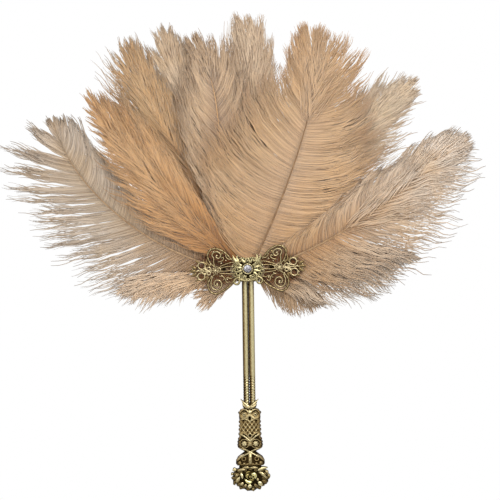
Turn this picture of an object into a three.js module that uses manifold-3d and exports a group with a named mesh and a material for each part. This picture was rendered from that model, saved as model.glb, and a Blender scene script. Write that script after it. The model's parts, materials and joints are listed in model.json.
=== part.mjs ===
import * as THREE from "three";
import Module from "manifold-3d";
import { mergeVertices } from "three/addons/utils/BufferGeometryUtils.js";

// A hand fan of thirteen ostrich plumes on a two-pronged cast metal handle.
// The origin is on the handle's axis at the top of the cast grip, where the hand holds it.
// +Z runs up along the handle to the plumes, +X is to the right and the front of the fan
// faces -Y. Lengths are in millimetres.

const wasm = await Module();
wasm.setup();

// Fits
const FIT_GAP = 0.3;
const LAYER_SLACK = 0.1;

// Felt backing
const FELT_THICKNESS = 1.5;
const FELT_WIDTH = 62;
const FELT_HEIGHT = 21.5;

// Plumes
const PLUME_LENGTH = 197;
const BARB_REACH = 84;
const QUILL_START = 9;
const QUILL_CENTRE_DROP = 4;
const QUILL_RADIUS = 0.9;
const SHAFT_TIP_RADIUS = 0.32;
const VANE_THICKNESS = 0.4;
const FLAT_RADIUS = 50;
const FAN_RADIUS = 200;
const TIP_SPREAD = 1.1;
const DISH_DEPTH = 16;

// Glue core round the quills
const CORE_HALF_WIDTH = 14;
const CORE_HALF_HEIGHT = 9.5;
const CORE_CENTRE_DROP = 0.9;
const CORE_COVER = 0.7;

// Brooch
const BROOCH_TILT = THREE.MathUtils.degToRad(2.1);
const FILIGREE_THICKNESS = 1.3;
const WIRE_WIDTH = 1.5;
const WING_REACH = 47.2;
const PLATE_HALF_WIDTH = 11;
const PLATE_HALF_HEIGHT = 9;
const PLATE_THICKNESS = 2;
const FLOWER_RADIUS = 3.2;
const FLOWER_THICKNESS = 1.3;
const CUP_RADIUS = 4.3;
const CUP_HEIGHT = 1.9;
const CRYSTAL_RADIUS = 3.3;
const CRYSTAL_HEIGHT = 2.3;

// Handle
const PRONG_RADIUS = 2.3;
const HUB_HEIGHT = 112;
const PRONG_PAST_GEM = 2;
const PRONG_SOCKET = 6;
const PRONG_GROOVE_DEPTH = 0.3;
const COLLAR_HEIGHT = 7;
const COLLAR_HALF_WIDTH = 7.2;
const COLLAR_HALF_DEPTH = 4.4;
const GRIP_HEIGHT = 46;
const GRIP_HALF_WIDTH = 9;
const GRIP_HALF_DEPTH = 6.4;
const FINIAL_HALF_WIDTH = 16;
const FINIAL_HEIGHT = 21;
const FINIAL_HALF_DEPTH = 5.5;
const ROSE_RADIUS = 5.4;
const ROSE_THICKNESS = 3;

// Distances that follow from the ones above
const LAYER_PITCH = QUILL_RADIUS + VANE_THICKNESS / 2 + FIT_GAP + LAYER_SLACK;
const REAR_LAYER = FELT_THICKNESS + FIT_GAP + QUILL_RADIUS;
const TOP_LEVEL = 8;
const CORE_REAR = FELT_THICKNESS + FIT_GAP;
const CORE_FRONT = REAR_LAYER + TOP_LEVEL * LAYER_PITCH + QUILL_RADIUS + FIT_GAP + CORE_COVER;
const FILIGREE_REAR = CORE_FRONT + FIT_GAP;
const PLATE_REAR = FILIGREE_REAR + FILIGREE_THICKNESS + FIT_GAP;
const CUP_REAR = PLATE_REAR + PLATE_THICKNESS + FIT_GAP;
const HANDLE_DEPTH = REAR_LAYER + (TOP_LEVEL / 2) * LAYER_PITCH;
const PRONG_TOP = HUB_HEIGHT + PRONG_PAST_GEM;
const PRONG_BOTTOM = -PRONG_SOCKET;
const COLLAR_TOP = FIT_GAP + COLLAR_HEIGHT;

// Each plume, clockwise from the lowest on the left as the fan is seen from the front.
// lean, bend and hook are the shaft's heading from +Z in degrees: at its root, added evenly
// along it, and added over its last part. length is a share of PLUME_LENGTH. level is the layer
// counted from the rear. start is the share of the shaft where the vane begins. left and right
// are the two sides of the vane: reach as a share of BARB_REACH, the barbs' angle off the shaft
// at their root and at their end, the reach left at the tip as a share of the full reach, and
// how deep the notches between its tufts leave the edge, also as a share of the reach.
const PLUME_SHARES = [
  {
    lean: -115, bend: -4, hook: 0, length: 0.152, level: 2, start: 0.22, tufts: 3,
    tone: "tan",
    left: [0.286, 44, 30, 0.5, 0.8], right: [0.262, 40, 28, 0.5, 0.85],
  },
  {
    lean: -92, bend: -6, hook: 0, length: 0.431, level: 4, start: 0.1, tufts: 5,
    tone: "tan",
    left: [0.5, 50, 35, 0.35, 0.78], right: [0.452, 50, 25, 0.4, 0.86],
  },
  {
    lean: -78.3, bend: 53.7, hook: 10.7, length: 1, level: 3, start: 0.06, tufts: 10,
    tone: "grey",
    left: [1.06, 49, 36, 0.16, 0.66], right: [0.548, 52, 30, 0.3, 0.88],
  },
  {
    lean: -47.9, bend: 12.1, hook: 4.7, length: 0.878, level: 6, start: 0.06, tufts: 6,
    tone: "peach",
    left: [0.643, 55, 12, 0.3, 0.86], right: [0.738, 60, 18, 0.32, 0.88],
  },
  {
    lean: -29.1, bend: 1.2, hook: 12, length: 0.964, level: 2, start: 0.06, tufts: 6,
    tone: "peach",
    left: [0.714, 52, 22, 0.38, 0.86], right: [0.667, 50, 20, 0.42, 0.88],
  },
  {
    lean: -17.8, bend: -2.6, hook: 10, length: 0.964, level: 1, start: 0.06, tufts: 6,
    tone: "tan",
    left: [0.595, 60, 25, 0.35, 0.88], right: [0.619, 50, 22, 0.35, 0.88],
  },
  {
    lean: -15.3, bend: 16.8, hook: -35.4, length: 0.898, level: 4, start: 0.06, tufts: 6,
    tone: "peach",
    left: [0.69, 60, 15, 0.4, 0.86], right: [0.69, 62, 28, 0.35, 0.86],
  },
  {
    lean: -1.4, bend: 13.2, hook: -31.9, length: 0.915, level: 0, start: 0.05, tufts: 6,
    tone: "tan",
    left: [0.595, 50, 22, 0.6, 0.84], right: [0.595, 50, 20, 0.55, 0.84],
  },
  {
    lean: 27.2, bend: -15.9, hook: -21.3, length: 0.914, level: 7, start: 0.04, tufts: 6,
    tone: "peach",
    left: [0.929, 88, 32, 0.34, 0.88], right: [0.952, 82, 38, 0.26, 0.86],
  },
  {
    lean: 35.8, bend: 9.6, hook: 10.8, length: 0.929, level: 3, start: 0.06, tufts: 6,
    tone: "tan",
    left: [0.667, 55, 20, 0.4, 0.86], right: [0.643, 62, 38, 0.35, 0.82],
  },
  {
    lean: 72.6, bend: -32.7, hook: 21.8, length: 0.975, level: 8, start: 0.08, tufts: 9,
    tone: "grey",
    left: [0.524, 48, 24, 0.34, 0.88], right: [0.762, 62, 42, 0.2, 0.74],
  },
  {
    lean: 79, bend: 7.8, hook: 12.2, length: 0.64, level: 4, start: 0.08, tufts: 6,
    tone: "tan",
    left: [0.595, 50, 30, 0.3, 0.88], right: [0.667, 60, 25, 0.3, 0.78],
  },
  {
    lean: 100, bend: 22, hook: 0, length: 0.305, level: 2, start: 0.12, tufts: 3,
    tone: "tan",
    left: [0.31, 40, 20, 0.5, 0.85], right: [0.345, 45, 22, 0.5, 0.8],
  },
];

const VANE_TONES = { peach: 0xc79f74, tan: 0xbd9f7d, grey: 0xb5a18c };
const COLUMN_SHARES = [0, 0.34, 0.7, 1];
const HOOK_START_SHARE = 0.6;

const METAL_LOOK = { color: 0x9c8752, metalness: 0.9, roughness: 0.38 };
const BRIGHT_LOOK = { color: 0xb59a5c, metalness: 0.9, roughness: 0.3 };
const FELT_LOOK = { color: 0x2b2420, metalness: 0, roughness: 0.95 };
const GLUE_LOOK = { color: 0xb9a888, metalness: 0, roughness: 0.5 };
const CRYSTAL_LOOK = { color: 0xe8edf0, metalness: 0, roughness: 0.05 };
const SHAFT_LOOK = { color: 0x8c6c4c, metalness: 0, roughness: 0.55 };

const radians = THREE.MathUtils.degToRad;

function meshOf(name, geometry, look) {
  const made = new THREE.Mesh(geometry, new THREE.MeshStandardMaterial(look));
  made.name = name;
  return made;
}

function solidOf(geometry) {
  const bare = geometry.clone();
  bare.deleteAttribute("normal");
  bare.deleteAttribute("uv");
  const merged = mergeVertices(bare, 1e-4);
  return new wasm.Manifold(
    new wasm.Mesh({
      numProp: 3,
      vertProperties: new Float32Array(merged.attributes.position.array),
      triVerts: new Uint32Array(merged.index.array),
    }),
  );
}

function geometryOf(solid) {
  const data = solid.getMesh();
  const geometry = new THREE.BufferGeometry();
  geometry.setAttribute("position", new THREE.Float32BufferAttribute(data.vertProperties, 3));
  geometry.setIndex(Array.from(data.triVerts));
  geometry.computeVertexNormals();
  return geometry;
}

function joined(geometries) {
  let solid = solidOf(geometries[0]);
  for (const geometry of geometries.slice(1)) solid = solid.add(solidOf(geometry));
  return solid;
}

function indexed(points, faces) {
  const geometry = new THREE.BufferGeometry();
  geometry.setAttribute("position", new THREE.Float32BufferAttribute(points.flat(), 3));
  geometry.setIndex(faces.flat());
  geometry.computeVertexNormals();
  return geometry;
}

// A solid through rings of points that all hold the same number of points, closed by a flat
// face at each end. The rings turn anticlockwise as seen from the last ring.
function loft(rings) {
  const count = rings[0].length;
  const faces = [];
  for (let ring = 0; ring + 1 < rings.length; ring++)
    for (let k = 0; k < count; k++) {
      const low = ring * count + k;
      const next = ring * count + ((k + 1) % count);
      faces.push([low, next, next + count], [low, next + count, low + count]);
    }
  const last = (rings.length - 1) * count;
  for (let k = 1; k + 1 < count; k++) {
    faces.push([0, k + 1, k]);
    faces.push([last, last + k, last + k + 1]);
  }
  return indexed(rings.flat(), faces);
}

// The fan's layers: flat near the hub, dished forward and drawn apart towards the tips.
function layerY(x, z, level) {
  const radius = Math.hypot(x, z + QUILL_CENTRE_DROP);
  const out = Math.max(0, (radius - FLAT_RADIUS) / (FAN_RADIUS - FLAT_RADIUS));
  const depth = REAR_LAYER + level * (LAYER_PITCH + TIP_SPREAD * out) + DISH_DEPTH * out * out;
  return -depth;
}

// The point and heading of a plume's shaft at a share of its length.
function shaftPoint(plume, share) {
  const lean = radians(plume.lean);
  const steps = 40;
  let x = QUILL_START * Math.sin(lean);
  let z = QUILL_START * Math.cos(lean) - QUILL_CENTRE_DROP;
  const headingAt = (s) =>
    radians(
      plume.lean +
        plume.bend * s +
        plume.hook * Math.max(0, (s - HOOK_START_SHARE) / (1 - HOOK_START_SHARE)) ** 2,
    );
  const step = (share * plume.length * PLUME_LENGTH) / steps;
  for (let k = 0; k < steps; k++) {
    const heading = headingAt(((k + 0.5) / steps) * share);
    x += step * Math.sin(heading);
    z += step * Math.cos(heading);
  }
  return { x, z, heading: headingAt(share) };
}

const ramp = (value, from, to) => Math.min(1, Math.max(0, (value - from) / (to - from)));

// How far a side of the vane reaches at a share of the shaft, as a share of its full reach.
function reachShare(share, start, tip) {
  if (share < 0.5) return 0.55 + 0.45 * Math.sin((Math.PI / 2) * ramp(share, start, 0.5));
  return 1 - (1 - tip) * ramp(share, 0.5, 1) ** 1.5;
}

// The points of one barb, from beside the shaft out to its end.
function barbPoints(plume, share, side, shaftRadius, notched) {
  const [reach, rootAngle, endAngle, tip, notch] = side < 0 ? plume.left : plume.right;
  const root = shaftPoint(plume, share);
  const beside = shaftRadius > 0 ? shaftRadius + FIT_GAP : 0;
  let x = root.x + side * beside * Math.cos(root.heading);
  let z = root.z - side * beside * Math.sin(root.heading);
  const cut = notched ? notch : 1;
  const full = BARB_REACH * reach * reachShare(share, plume.start, tip) * cut;
  const narrowing = 1 - 0.72 * ramp(share, 0.62, 1) ** 1.5;
  const steps = 20;
  const points = [[x, z]];
  for (let k = 0; k < steps; k++) {
    const along = (k + 0.5) / steps;
    const angle = (rootAngle * (1 - along) + endAngle * along) * narrowing;
    const heading = root.heading + side * radians(angle);
    x += (full / steps) * Math.sin(heading);
    z += (full / steps) * Math.cos(heading);
    points.push([x, z]);
  }
  return COLUMN_SHARES.map((column) => points[Math.round(column * steps)]);
}

function stationShares(plume) {
  const count = 2 * plume.tufts;
  return Array.from({ length: count + 1 }, (_, k) => plume.start + ((1 - plume.start) * k) / count);
}

const shaftRadiusAt = (share) => QUILL_RADIUS + (SHAFT_TIP_RADIUS - QUILL_RADIUS) * share;

function shaftRings(plume, shares, radiusAt, sides) {
  return shares.map((share) => {
    const { x, z, heading } = shaftPoint(plume, share);
    const y = layerY(x, z, plume.level);
    const radius = radiusAt(share);
    return Array.from({ length: sides }, (_, k) => {
      const turn = (2 * Math.PI * k) / sides;
      const across = radius * Math.cos(turn);
      return [
        x + across * Math.cos(heading),
        y + radius * Math.sin(turn),
        z - across * Math.sin(heading),
      ];
    });
  });
}

// The shaft ends two stations short of the vane, which closes round its end.
function shaftGeometry(plume) {
  const stations = stationShares(plume);
  return loft(shaftRings(plume, [0, ...stations.slice(0, -2)], shaftRadiusAt, 5));
}

// The quill's pocket in the glue core follows the quill and runs out through the core's side.
function quillPocket(plume) {
  const reach = (2 * CORE_HALF_WIDTH) / (plume.length * PLUME_LENGTH);
  const start = -FIT_GAP / (plume.length * PLUME_LENGTH);
  return loft(shaftRings(plume, [start, reach / 2, reach], () => QUILL_RADIUS + FIT_GAP, 7));
}

// Both sides of a vane are one thin sheet, with a slot for the shaft from its root to near its tip.
function vaneGeometry(plume) {
  const stations = stationShares(plume);
  const last = stations.length - 1;
  const flat = [];
  const place = ([x, z]) => flat.push([x, z]) - 1;
  const sides = { left: [], right: [] };
  stations.forEach((share, row) => {
    const slotted = row <= last - 2;
    const radius = slotted ? shaftRadiusAt(share) : 0;
    const notched = row % 2 === 0;
    const left = barbPoints(plume, share, -1, radius, notched).map(place);
    const right = barbPoints(plume, share, 1, radius, notched);
    const shared = slotted ? place(right[0]) : left[0];
    sides.left.push(left);
    sides.right.push([shared, ...right.slice(1).map(place)]);
  });
  const faces = [];
  const columns = COLUMN_SHARES.length - 1;
  for (let row = 0; row < last; row++)
    for (let column = 0; column < columns; column++) {
      const [a, b] = sides.right[row].slice(column, column + 2);
      const [d, c] = sides.right[row + 1].slice(column, column + 2);
      faces.push([a, b, c], [a, c, d]);
      const [e, f] = sides.left[row].slice(column, column + 2);
      const [h, g] = sides.left[row + 1].slice(column, column + 2);
      faces.push([e, g, f], [e, h, g]);
    }
  for (let column = 0; column < columns; column++) {
    const [a, d] = sides.left[last].slice(column, column + 2);
    const [b, c] = sides.right[last].slice(column, column + 2);
    if (a !== b) faces.push([a, b, c]);
    faces.push([a, c, d]);
  }
  return sheet(flat, faces, plume.level);
}

// A flat pattern of triangles on a layer, thickened to a closed solid.
function sheet(flat, faces, level) {
  const half = VANE_THICKNESS / 2;
  const front = flat.map(([x, z]) => [x, layerY(x, z, level) - half, z]);
  const rear = flat.map(([x, z]) => [x, layerY(x, z, level) + half, z]);
  const count = flat.length;
  const edges = new Set();
  for (const [a, b, c] of faces) {
    edges.add(`${a}-${b}`);
    edges.add(`${b}-${c}`);
    edges.add(`${c}-${a}`);
  }
  const all = [];
  for (const [a, b, c] of faces) all.push([a, b, c], [a + count, c + count, b + count]);
  for (const edge of edges) {
    const [a, b] = edge.split("-").map(Number);
    if (edges.has(`${b}-${a}`)) continue;
    all.push([a, a + count, b + count], [a, b + count, b]);
  }
  return indexed([...front, ...rear], all);
}

// Flat shapes for the brooch, drawn in the brooch's own plane
function ellipseShape(halfWidth, halfHeight, x = 0, y = 0, sides = 12, power = 1) {
  const points = Array.from({ length: sides }, (_, k) => {
    const turn = (2 * Math.PI * k) / sides;
    const across = Math.sign(Math.cos(turn)) * Math.abs(Math.cos(turn)) ** power;
    const up = Math.sign(Math.sin(turn)) * Math.abs(Math.sin(turn)) ** power;
    return new THREE.Vector2(x + halfWidth * across, y + halfHeight * up);
  });
  return new THREE.Shape(points);
}

function ringShape(x, y, radius, sides = 8) {
  const shape = ellipseShape(radius, radius, x, y, sides);
  const inner = radius - WIRE_WIDTH;
  shape.holes.push(ellipseShape(inner, inner, x, y, sides));
  return shape;
}

function wireShape(points, width, count) {
  const curve = new THREE.CatmullRomCurve3(points.map(([x, y]) => new THREE.Vector3(x, y, 0)));
  const left = [];
  const right = [];
  for (let k = 0; k <= count; k++) {
    const at = curve.getPointAt(k / count);
    const along = curve.getTangentAt(k / count);
    const half = (width / 2) * (k === 0 || k === count ? 0.6 : 1);
    left.push(new THREE.Vector2(at.x - along.y * half, at.y + along.x * half));
    right.push(new THREE.Vector2(at.x + along.y * half, at.y - along.x * half));
  }
  return new THREE.Shape([...right, ...left.reverse()]);
}

function plateOf(shape, thickness, rear = 0) {
  const geometry = new THREE.ExtrudeGeometry(shape, {
    depth: thickness,
    bevelEnabled: false,
    curveSegments: 6,
  });
  return geometry.translate(0, 0, rear);
}

// One quarter of the filigree's wires, mirrored into the other three. Coordinates are shares
// of the wing's reach from the gem.
const LOBE_SHARES = [
  [0.16, 0.1], [0.27, 0.25], [0.4, 0.35], [0.54, 0.375], [0.66, 0.33],
  [0.72, 0.23], [0.68, 0.13], [0.59, 0.12], [0.55, 0.19], [0.59, 0.25],
];
const RAIL_SHARES = [[0.2, 0.07], [0.3, 0.12], [0.41, 0.11], [0.505, 0.04]];
const SCROLL_SHARES = [[0.3, 0.11], [0.33, 0.2], [0.4, 0.27], [0.47, 0.25], [0.47, 0.18], [0.42, 0.17]];
const LOOP_SHARES = { x: 0.77, y: 0.135, radius: 0.075 };
const LEAF_SHARES = { x: 0.79, y: 0.22, halfWidth: 0.045, halfHeight: 0.03 };
const TREFOIL_SHARES = [
  { x: 0.93, y: 0, radius: 0.055 },
  { x: 0.86, y: 0.065, radius: 0.05 },
  { x: 0.86, y: -0.065, radius: 0.05 },
];
const FLOWER_SEAT_SHARES = { x: 0.555, radius: 0.075 };

function filigreeGeometry() {
  const shapes = [ellipseShape(0.24 * WING_REACH, 0.19 * WING_REACH, 0, 0, 12)];
  for (const side of [-1, 1]) {
    const scaled = (points, rise) =>
      points.map(([x, y]) => [side * x * WING_REACH, rise * y * WING_REACH]);
    for (const rise of [-1, 1]) {
      shapes.push(wireShape(scaled(LOBE_SHARES, rise), WIRE_WIDTH, 12));
      shapes.push(wireShape(scaled(RAIL_SHARES, rise), WIRE_WIDTH, 6));
      shapes.push(wireShape(scaled(SCROLL_SHARES, rise), WIRE_WIDTH, 7));
      shapes.push(
        ringShape(
          side * LOOP_SHARES.x * WING_REACH,
          rise * LOOP_SHARES.y * WING_REACH,
          LOOP_SHARES.radius * WING_REACH,
        ),
        ellipseShape(
          LEAF_SHARES.halfWidth * WING_REACH,
          LEAF_SHARES.halfHeight * WING_REACH,
          side * LEAF_SHARES.x * WING_REACH,
          rise * LEAF_SHARES.y * WING_REACH,
          8,
        ),
      );
    }
    for (const lobe of TREFOIL_SHARES)
      shapes.push(
        ellipseShape(
          lobe.radius * WING_REACH,
          lobe.radius * WING_REACH,
          side * lobe.x * WING_REACH,
          lobe.y * WING_REACH,
          9,
        ),
      );
    const seat = side * FLOWER_SEAT_SHARES.x * WING_REACH;
    shapes.push(ringShape(seat, 0, FLOWER_SEAT_SHARES.radius * WING_REACH, 8));
    shapes.push(wireShape(scaled([[0.61, 0], [0.74, 0.01], [0.9, 0]], 1), WIRE_WIDTH, 3));
  }
  return geometryOf(joined(shapes.map((shape) => plateOf(shape, FILIGREE_THICKNESS))));
}

// The scalloped plate round the gem: its edge discs and corner rings as shares of its half size.
const SCALLOP_SHARES = [[0.4, 0.98, 0.22], [0, 1.02, 0.2], [0.94, 0.35, 0.24]];
const CORNER_SHARES = { x: 0.86, y: 1.12, radius: 0.29 };

function centreOrnamentGeometry() {
  const wide = PLATE_HALF_WIDTH;
  const high = PLATE_HALF_HEIGHT;
  const pieces = [plateOf(ellipseShape(wide, high, 0, 0, 20, 0.6), PLATE_THICKNESS)];
  for (const side of [-1, 1])
    for (const rise of [-1, 1]) {
      const corner = ringShape(
        side * CORNER_SHARES.x * wide,
        rise * CORNER_SHARES.y * high,
        CORNER_SHARES.radius * wide,
      );
      pieces.push(plateOf(corner, PLATE_THICKNESS));
      for (const [x, y, radius] of SCALLOP_SHARES) {
        if (x === 0 && side > 0) continue;
        const disc = ellipseShape(radius * wide, radius * wide, side * x * wide, rise * y * high, 8);
        pieces.push(plateOf(disc, PLATE_THICKNESS * 0.8));
      }
    }
  const rim = new THREE.TorusGeometry(0.56 * wide, 0.08 * wide, 4, 14);
  pieces.push(rim.translate(0, 0, PLATE_THICKNESS));
  return geometryOf(joined(pieces));
}

function flowerGeometry() {
  const pieces = [plateOf(ellipseShape(0.45 * FLOWER_RADIUS, 0.45 * FLOWER_RADIUS, 0, 0, 8), FLOWER_THICKNESS)];
  for (let petal = 0; petal < 5; petal++) {
    const turn = (2 * Math.PI * petal) / 5 + Math.PI / 2;
    const x = 0.6 * FLOWER_RADIUS * Math.cos(turn);
    const y = 0.6 * FLOWER_RADIUS * Math.sin(turn);
    const shape = ellipseShape(0.42 * FLOWER_RADIUS, 0.42 * FLOWER_RADIUS, x, y, 8);
    pieces.push(plateOf(shape, FLOWER_THICKNESS * 0.65));
  }
  return geometryOf(joined(pieces));
}

// A turned piece round local Z
function turned(profile, sides) {
  const points = profile.map(([radius, height]) => new THREE.Vector2(radius, height));
  return new THREE.LatheGeometry(points, sides).rotateX(Math.PI / 2);
}

function gemCupGeometry() {
  const inner = CRYSTAL_RADIUS + FIT_GAP;
  const floor = 0.26 * CUP_HEIGHT;
  const bowl = turned(
    [
      [0, 0], [CUP_RADIUS, 0], [CUP_RADIUS, CUP_HEIGHT], [inner, CUP_HEIGHT],
      [inner, 0.79 * CUP_HEIGHT], [0.6 * inner, floor], [0, floor],
    ],
    12,
  );
  const pieces = [bowl];
  const claw = CUP_RADIUS - inner;
  for (let k = 0; k < 4; k++) {
    const box = new THREE.BoxGeometry(claw, claw * 1.6, claw * 1.8);
    box.translate((CUP_RADIUS + inner) / 2, 0, CUP_HEIGHT + claw * 0.5);
    pieces.push(box.rotateZ((Math.PI / 2) * k + Math.PI / 4));
  }
  return geometryOf(joined(pieces));
}

function crystalGeometry() {
  return turned(
    [
      [0, 0], [0.36 * CRYSTAL_RADIUS, 0], [CRYSTAL_RADIUS, 0.48 * CRYSTAL_HEIGHT],
      [CRYSTAL_RADIUS, 0.56 * CRYSTAL_HEIGHT], [0.6 * CRYSTAL_RADIUS, CRYSTAL_HEIGHT],
      [0, CRYSTAL_HEIGHT],
    ],
    10,
  );
}

function feltGeometry() {
  const shape = ellipseShape(FELT_WIDTH / 2, FELT_HEIGHT / 2, 0, 0, 36);
  return plateOf(shape, FELT_THICKNESS);
}

function prongGeometry() {
  const length = PRONG_TOP - PRONG_BOTTOM;
  const chamfer = 0.25 * PRONG_RADIUS;
  const waist = PRONG_RADIUS - PRONG_GROOVE_DEPTH;
  const profile = [[0, 0], [PRONG_RADIUS, 0]];
  for (const share of [0.135, 0.27])
    profile.push(
      [PRONG_RADIUS, share * length],
      [waist, share * length + PRONG_GROOVE_DEPTH],
      [waist, share * length + 3 * PRONG_GROOVE_DEPTH],
      [PRONG_RADIUS, share * length + 4 * PRONG_GROOVE_DEPTH],
    );
  profile.push([PRONG_RADIUS, length - chamfer], [PRONG_RADIUS - chamfer, length], [0, length]);
  return turned(profile, 12);
}

// Bores for both prongs, from one height to another, in the handle's frame
function prongBores(from, to) {
  const radius = PRONG_RADIUS + FIT_GAP;
  const bores = [];
  for (const side of [-1, 1]) {
    const bore = new THREE.CylinderGeometry(radius, radius, to - from, 12).rotateX(Math.PI / 2);
    bores.push(bore.translate(side * prongOffset, 0, (from + to) / 2));
  }
  const web = new THREE.BoxGeometry(2 * prongOffset, radius, to - from);
  bores.push(web.translate(0, 0, (from + to) / 2));
  return joined(bores);
}

const prongOffset = PRONG_RADIUS + FIT_GAP / 2;

function coreGeometry() {
  const shape = ellipseShape(CORE_HALF_WIDTH, CORE_HALF_HEIGHT, 0, -CORE_CENTRE_DROP, 28);
  const block = plateOf(shape, CORE_FRONT - CORE_REAR, CORE_REAR).rotateX(Math.PI / 2);
  let core = solidOf(block);
  for (const plume of PLUME_SHARES) core = core.subtract(solidOf(quillPocket(plume)));
  const bores = prongBores(HUB_HEIGHT - 2 * CORE_HALF_HEIGHT, PRONG_TOP + FIT_GAP);
  return geometryOf(core.subtract(bores.translate([0, -HANDLE_DEPTH, -HUB_HEIGHT])));
}

// A ring of points of a rounded section at a height
function section(halfWidth, halfDepth, height, sides = 14, power = 0.75) {
  return Array.from({ length: sides }, (_, k) => {
    const turn = (2 * Math.PI * k) / sides;
    const cos = Math.cos(turn);
    const sin = Math.sin(turn);
    return [
      halfWidth * Math.sign(cos) * Math.abs(cos) ** power,
      halfDepth * Math.sign(sin) * Math.abs(sin) ** power,
      height,
    ];
  });
}

function collarGeometry() {
  const top = COLLAR_TOP;
  const bottom = COLLAR_TOP - COLLAR_HEIGHT;
  const rings = [
    section(0.78 * COLLAR_HALF_WIDTH, 0.9 * COLLAR_HALF_DEPTH, bottom, 16),
    section(COLLAR_HALF_WIDTH, COLLAR_HALF_DEPTH, bottom + 0.45 * COLLAR_HEIGHT, 16),
    section(COLLAR_HALF_WIDTH, COLLAR_HALF_DEPTH, top, 16),
  ];
  let collar = solidOf(loft(rings));
  const notch = new THREE.Shape([
    new THREE.Vector2(0, bottom + 0.35 * COLLAR_HEIGHT),
    new THREE.Vector2(2 * COLLAR_HALF_WIDTH, bottom + 1.75 * COLLAR_HEIGHT),
    new THREE.Vector2(-2 * COLLAR_HALF_WIDTH, bottom + 1.75 * COLLAR_HEIGHT),
  ]);
  const wedge = plateOf(notch, 4 * COLLAR_HALF_DEPTH, -2 * COLLAR_HALF_DEPTH);
  collar = collar.subtract(solidOf(wedge.rotateX(Math.PI / 2)));
  return geometryOf(collar.subtract(prongBores(bottom - COLLAR_HEIGHT, top + COLLAR_HEIGHT)));
}

// Sections of the cast grip: height as a share from top to bottom, then half width and half
// depth as shares of the grip's own.
const GRIP_SHARES = [
  [1, 1.27, 1.2], [0.955, 1.34, 1.3], [0.88, 1.2, 1.2], [0.82, 0.72, 0.85], [0.785, 0.45, 0.62],
  [0.75, 0.8, 0.85], [0.7, 1.02, 1.02], [0.58, 1, 1], [0.53, 0.9, 0.92], [0.35, 0.9, 0.92],
  [0.2, 0.92, 0.94], [0.14, 1, 1], [0.07, 0.98, 0.98], [0.03, 0.85, 0.86], [0, 0.62, 0.72],
];
const EDGE_BEAD_SHARES = [0.24, 0.33, 0.42, 0.51];

function gripGeometry() {
  const at = (share) => -share * GRIP_HEIGHT;
  const rings = GRIP_SHARES.map(([share, wide, deep]) =>
    section(wide * GRIP_HALF_WIDTH, deep * GRIP_HALF_DEPTH, at(share)),
  );
  const pieces = [loft(rings)];
  const face = -0.96 * GRIP_HALF_DEPTH;
  for (const side of [-1, 1]) {
    for (const [share, radius] of [[0.105, 0.24], [0.64, 0.3]]) {
      const petals = new THREE.TorusGeometry(radius * GRIP_HALF_WIDTH, 0.1 * GRIP_HALF_WIDTH, 4, 8);
      petals.rotateX(Math.PI / 2);
      pieces.push(petals.translate(side * 0.47 * GRIP_HALF_WIDTH, face, at(share)));
    }
    for (const share of EDGE_BEAD_SHARES) {
      const bead = new THREE.SphereGeometry(0.13 * GRIP_HALF_WIDTH, 5, 3);
      pieces.push(bead.translate(side * 0.89 * GRIP_HALF_WIDTH, 0, at(share)));
    }
    for (const share of [0.23, 0.4]) {
      const bar = new THREE.BoxGeometry(
        1.3 * GRIP_HALF_WIDTH, 0.16 * GRIP_HALF_WIDTH, 0.12 * GRIP_HALF_WIDTH,
      );
      bar.rotateY(side * radians(38));
      pieces.push(bar.translate(0, face, at(share + 0.04)));
    }
  }
  let grip = joined(pieces);
  for (const side of [-1, 1]) {
    const hollow = new THREE.SphereGeometry(0.42 * GRIP_HALF_WIDTH, 8, 6);
    hollow.scale(1, 0.8, 0.85);
    hollow.translate(side * 0.58 * GRIP_HALF_WIDTH, -1.22 * GRIP_HALF_DEPTH, at(0.92));
    grip = grip.subtract(solidOf(hollow));
  }
  return geometryOf(grip.subtract(prongBores(PRONG_BOTTOM - FIT_GAP, COLLAR_HEIGHT)));
}

// Leaves of the finial's shell: angle from straight up in degrees, the place of the leaf's
// middle as a share of the finial's half size that way, and the leaf's half width and half
// length as shares of the finial's height.
const SHELL_LEAF_SHARES = [
  [60, 0.72, 0.16, 0.26], [90, 0.66, 0.15, 0.24], [118, 0.66, 0.14, 0.22],
  [148, 0.68, 0.14, 0.2], [180, 0.66, 0.14, 0.17],
];

function finialShellGeometry() {
  const height = FINIAL_HEIGHT;
  const middle = finialMiddle;
  const disc = new THREE.SphereGeometry(1, 14, 7).scale(
    0.62 * FINIAL_HALF_WIDTH, FINIAL_HALF_DEPTH, 0.4 * height,
  );
  const neck = new THREE.CylinderGeometry(0.2 * height, 0.24 * height, 0.2 * height, 14);
  neck.rotateX(Math.PI / 2);
  const pieces = [
    disc.translate(0, 0, middle),
    neck.translate(0, 0, finialMiddle + 0.4 * height),
  ];
  for (const [angle, reach, wide, long] of SHELL_LEAF_SHARES)
    for (const side of angle === 180 ? [1] : [-1, 1]) {
      const leaf = new THREE.SphereGeometry(1, 6, 4);
      leaf.scale(wide * height, 0.6 * FINIAL_HALF_DEPTH, long * height);
      leaf.rotateY(side * radians(angle));
      const x = side * reach * FINIAL_HALF_WIDTH * Math.sin(radians(angle));
      const z = reach * 0.5 * height * Math.cos(radians(angle));
      pieces.push(leaf.translate(x, 0, middle + z));
    }
  const shell = joined(pieces);
  const seat = new THREE.CylinderGeometry(
    ROSE_RADIUS + FIT_GAP, ROSE_RADIUS + FIT_GAP, FINIAL_HALF_DEPTH, 18,
  );
  seat.translate(0, -0.5 * FINIAL_HALF_DEPTH - roseSeat, roseMiddle);
  return geometryOf(shell.subtract(solidOf(seat)));
}

const roseSeat = 0.55 * FINIAL_HALF_DEPTH;
const finialMiddle = -GRIP_HEIGHT - FIT_GAP - 0.5 * FINIAL_HEIGHT;
const roseMiddle = finialMiddle + 0.1 * FINIAL_HEIGHT;

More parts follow.
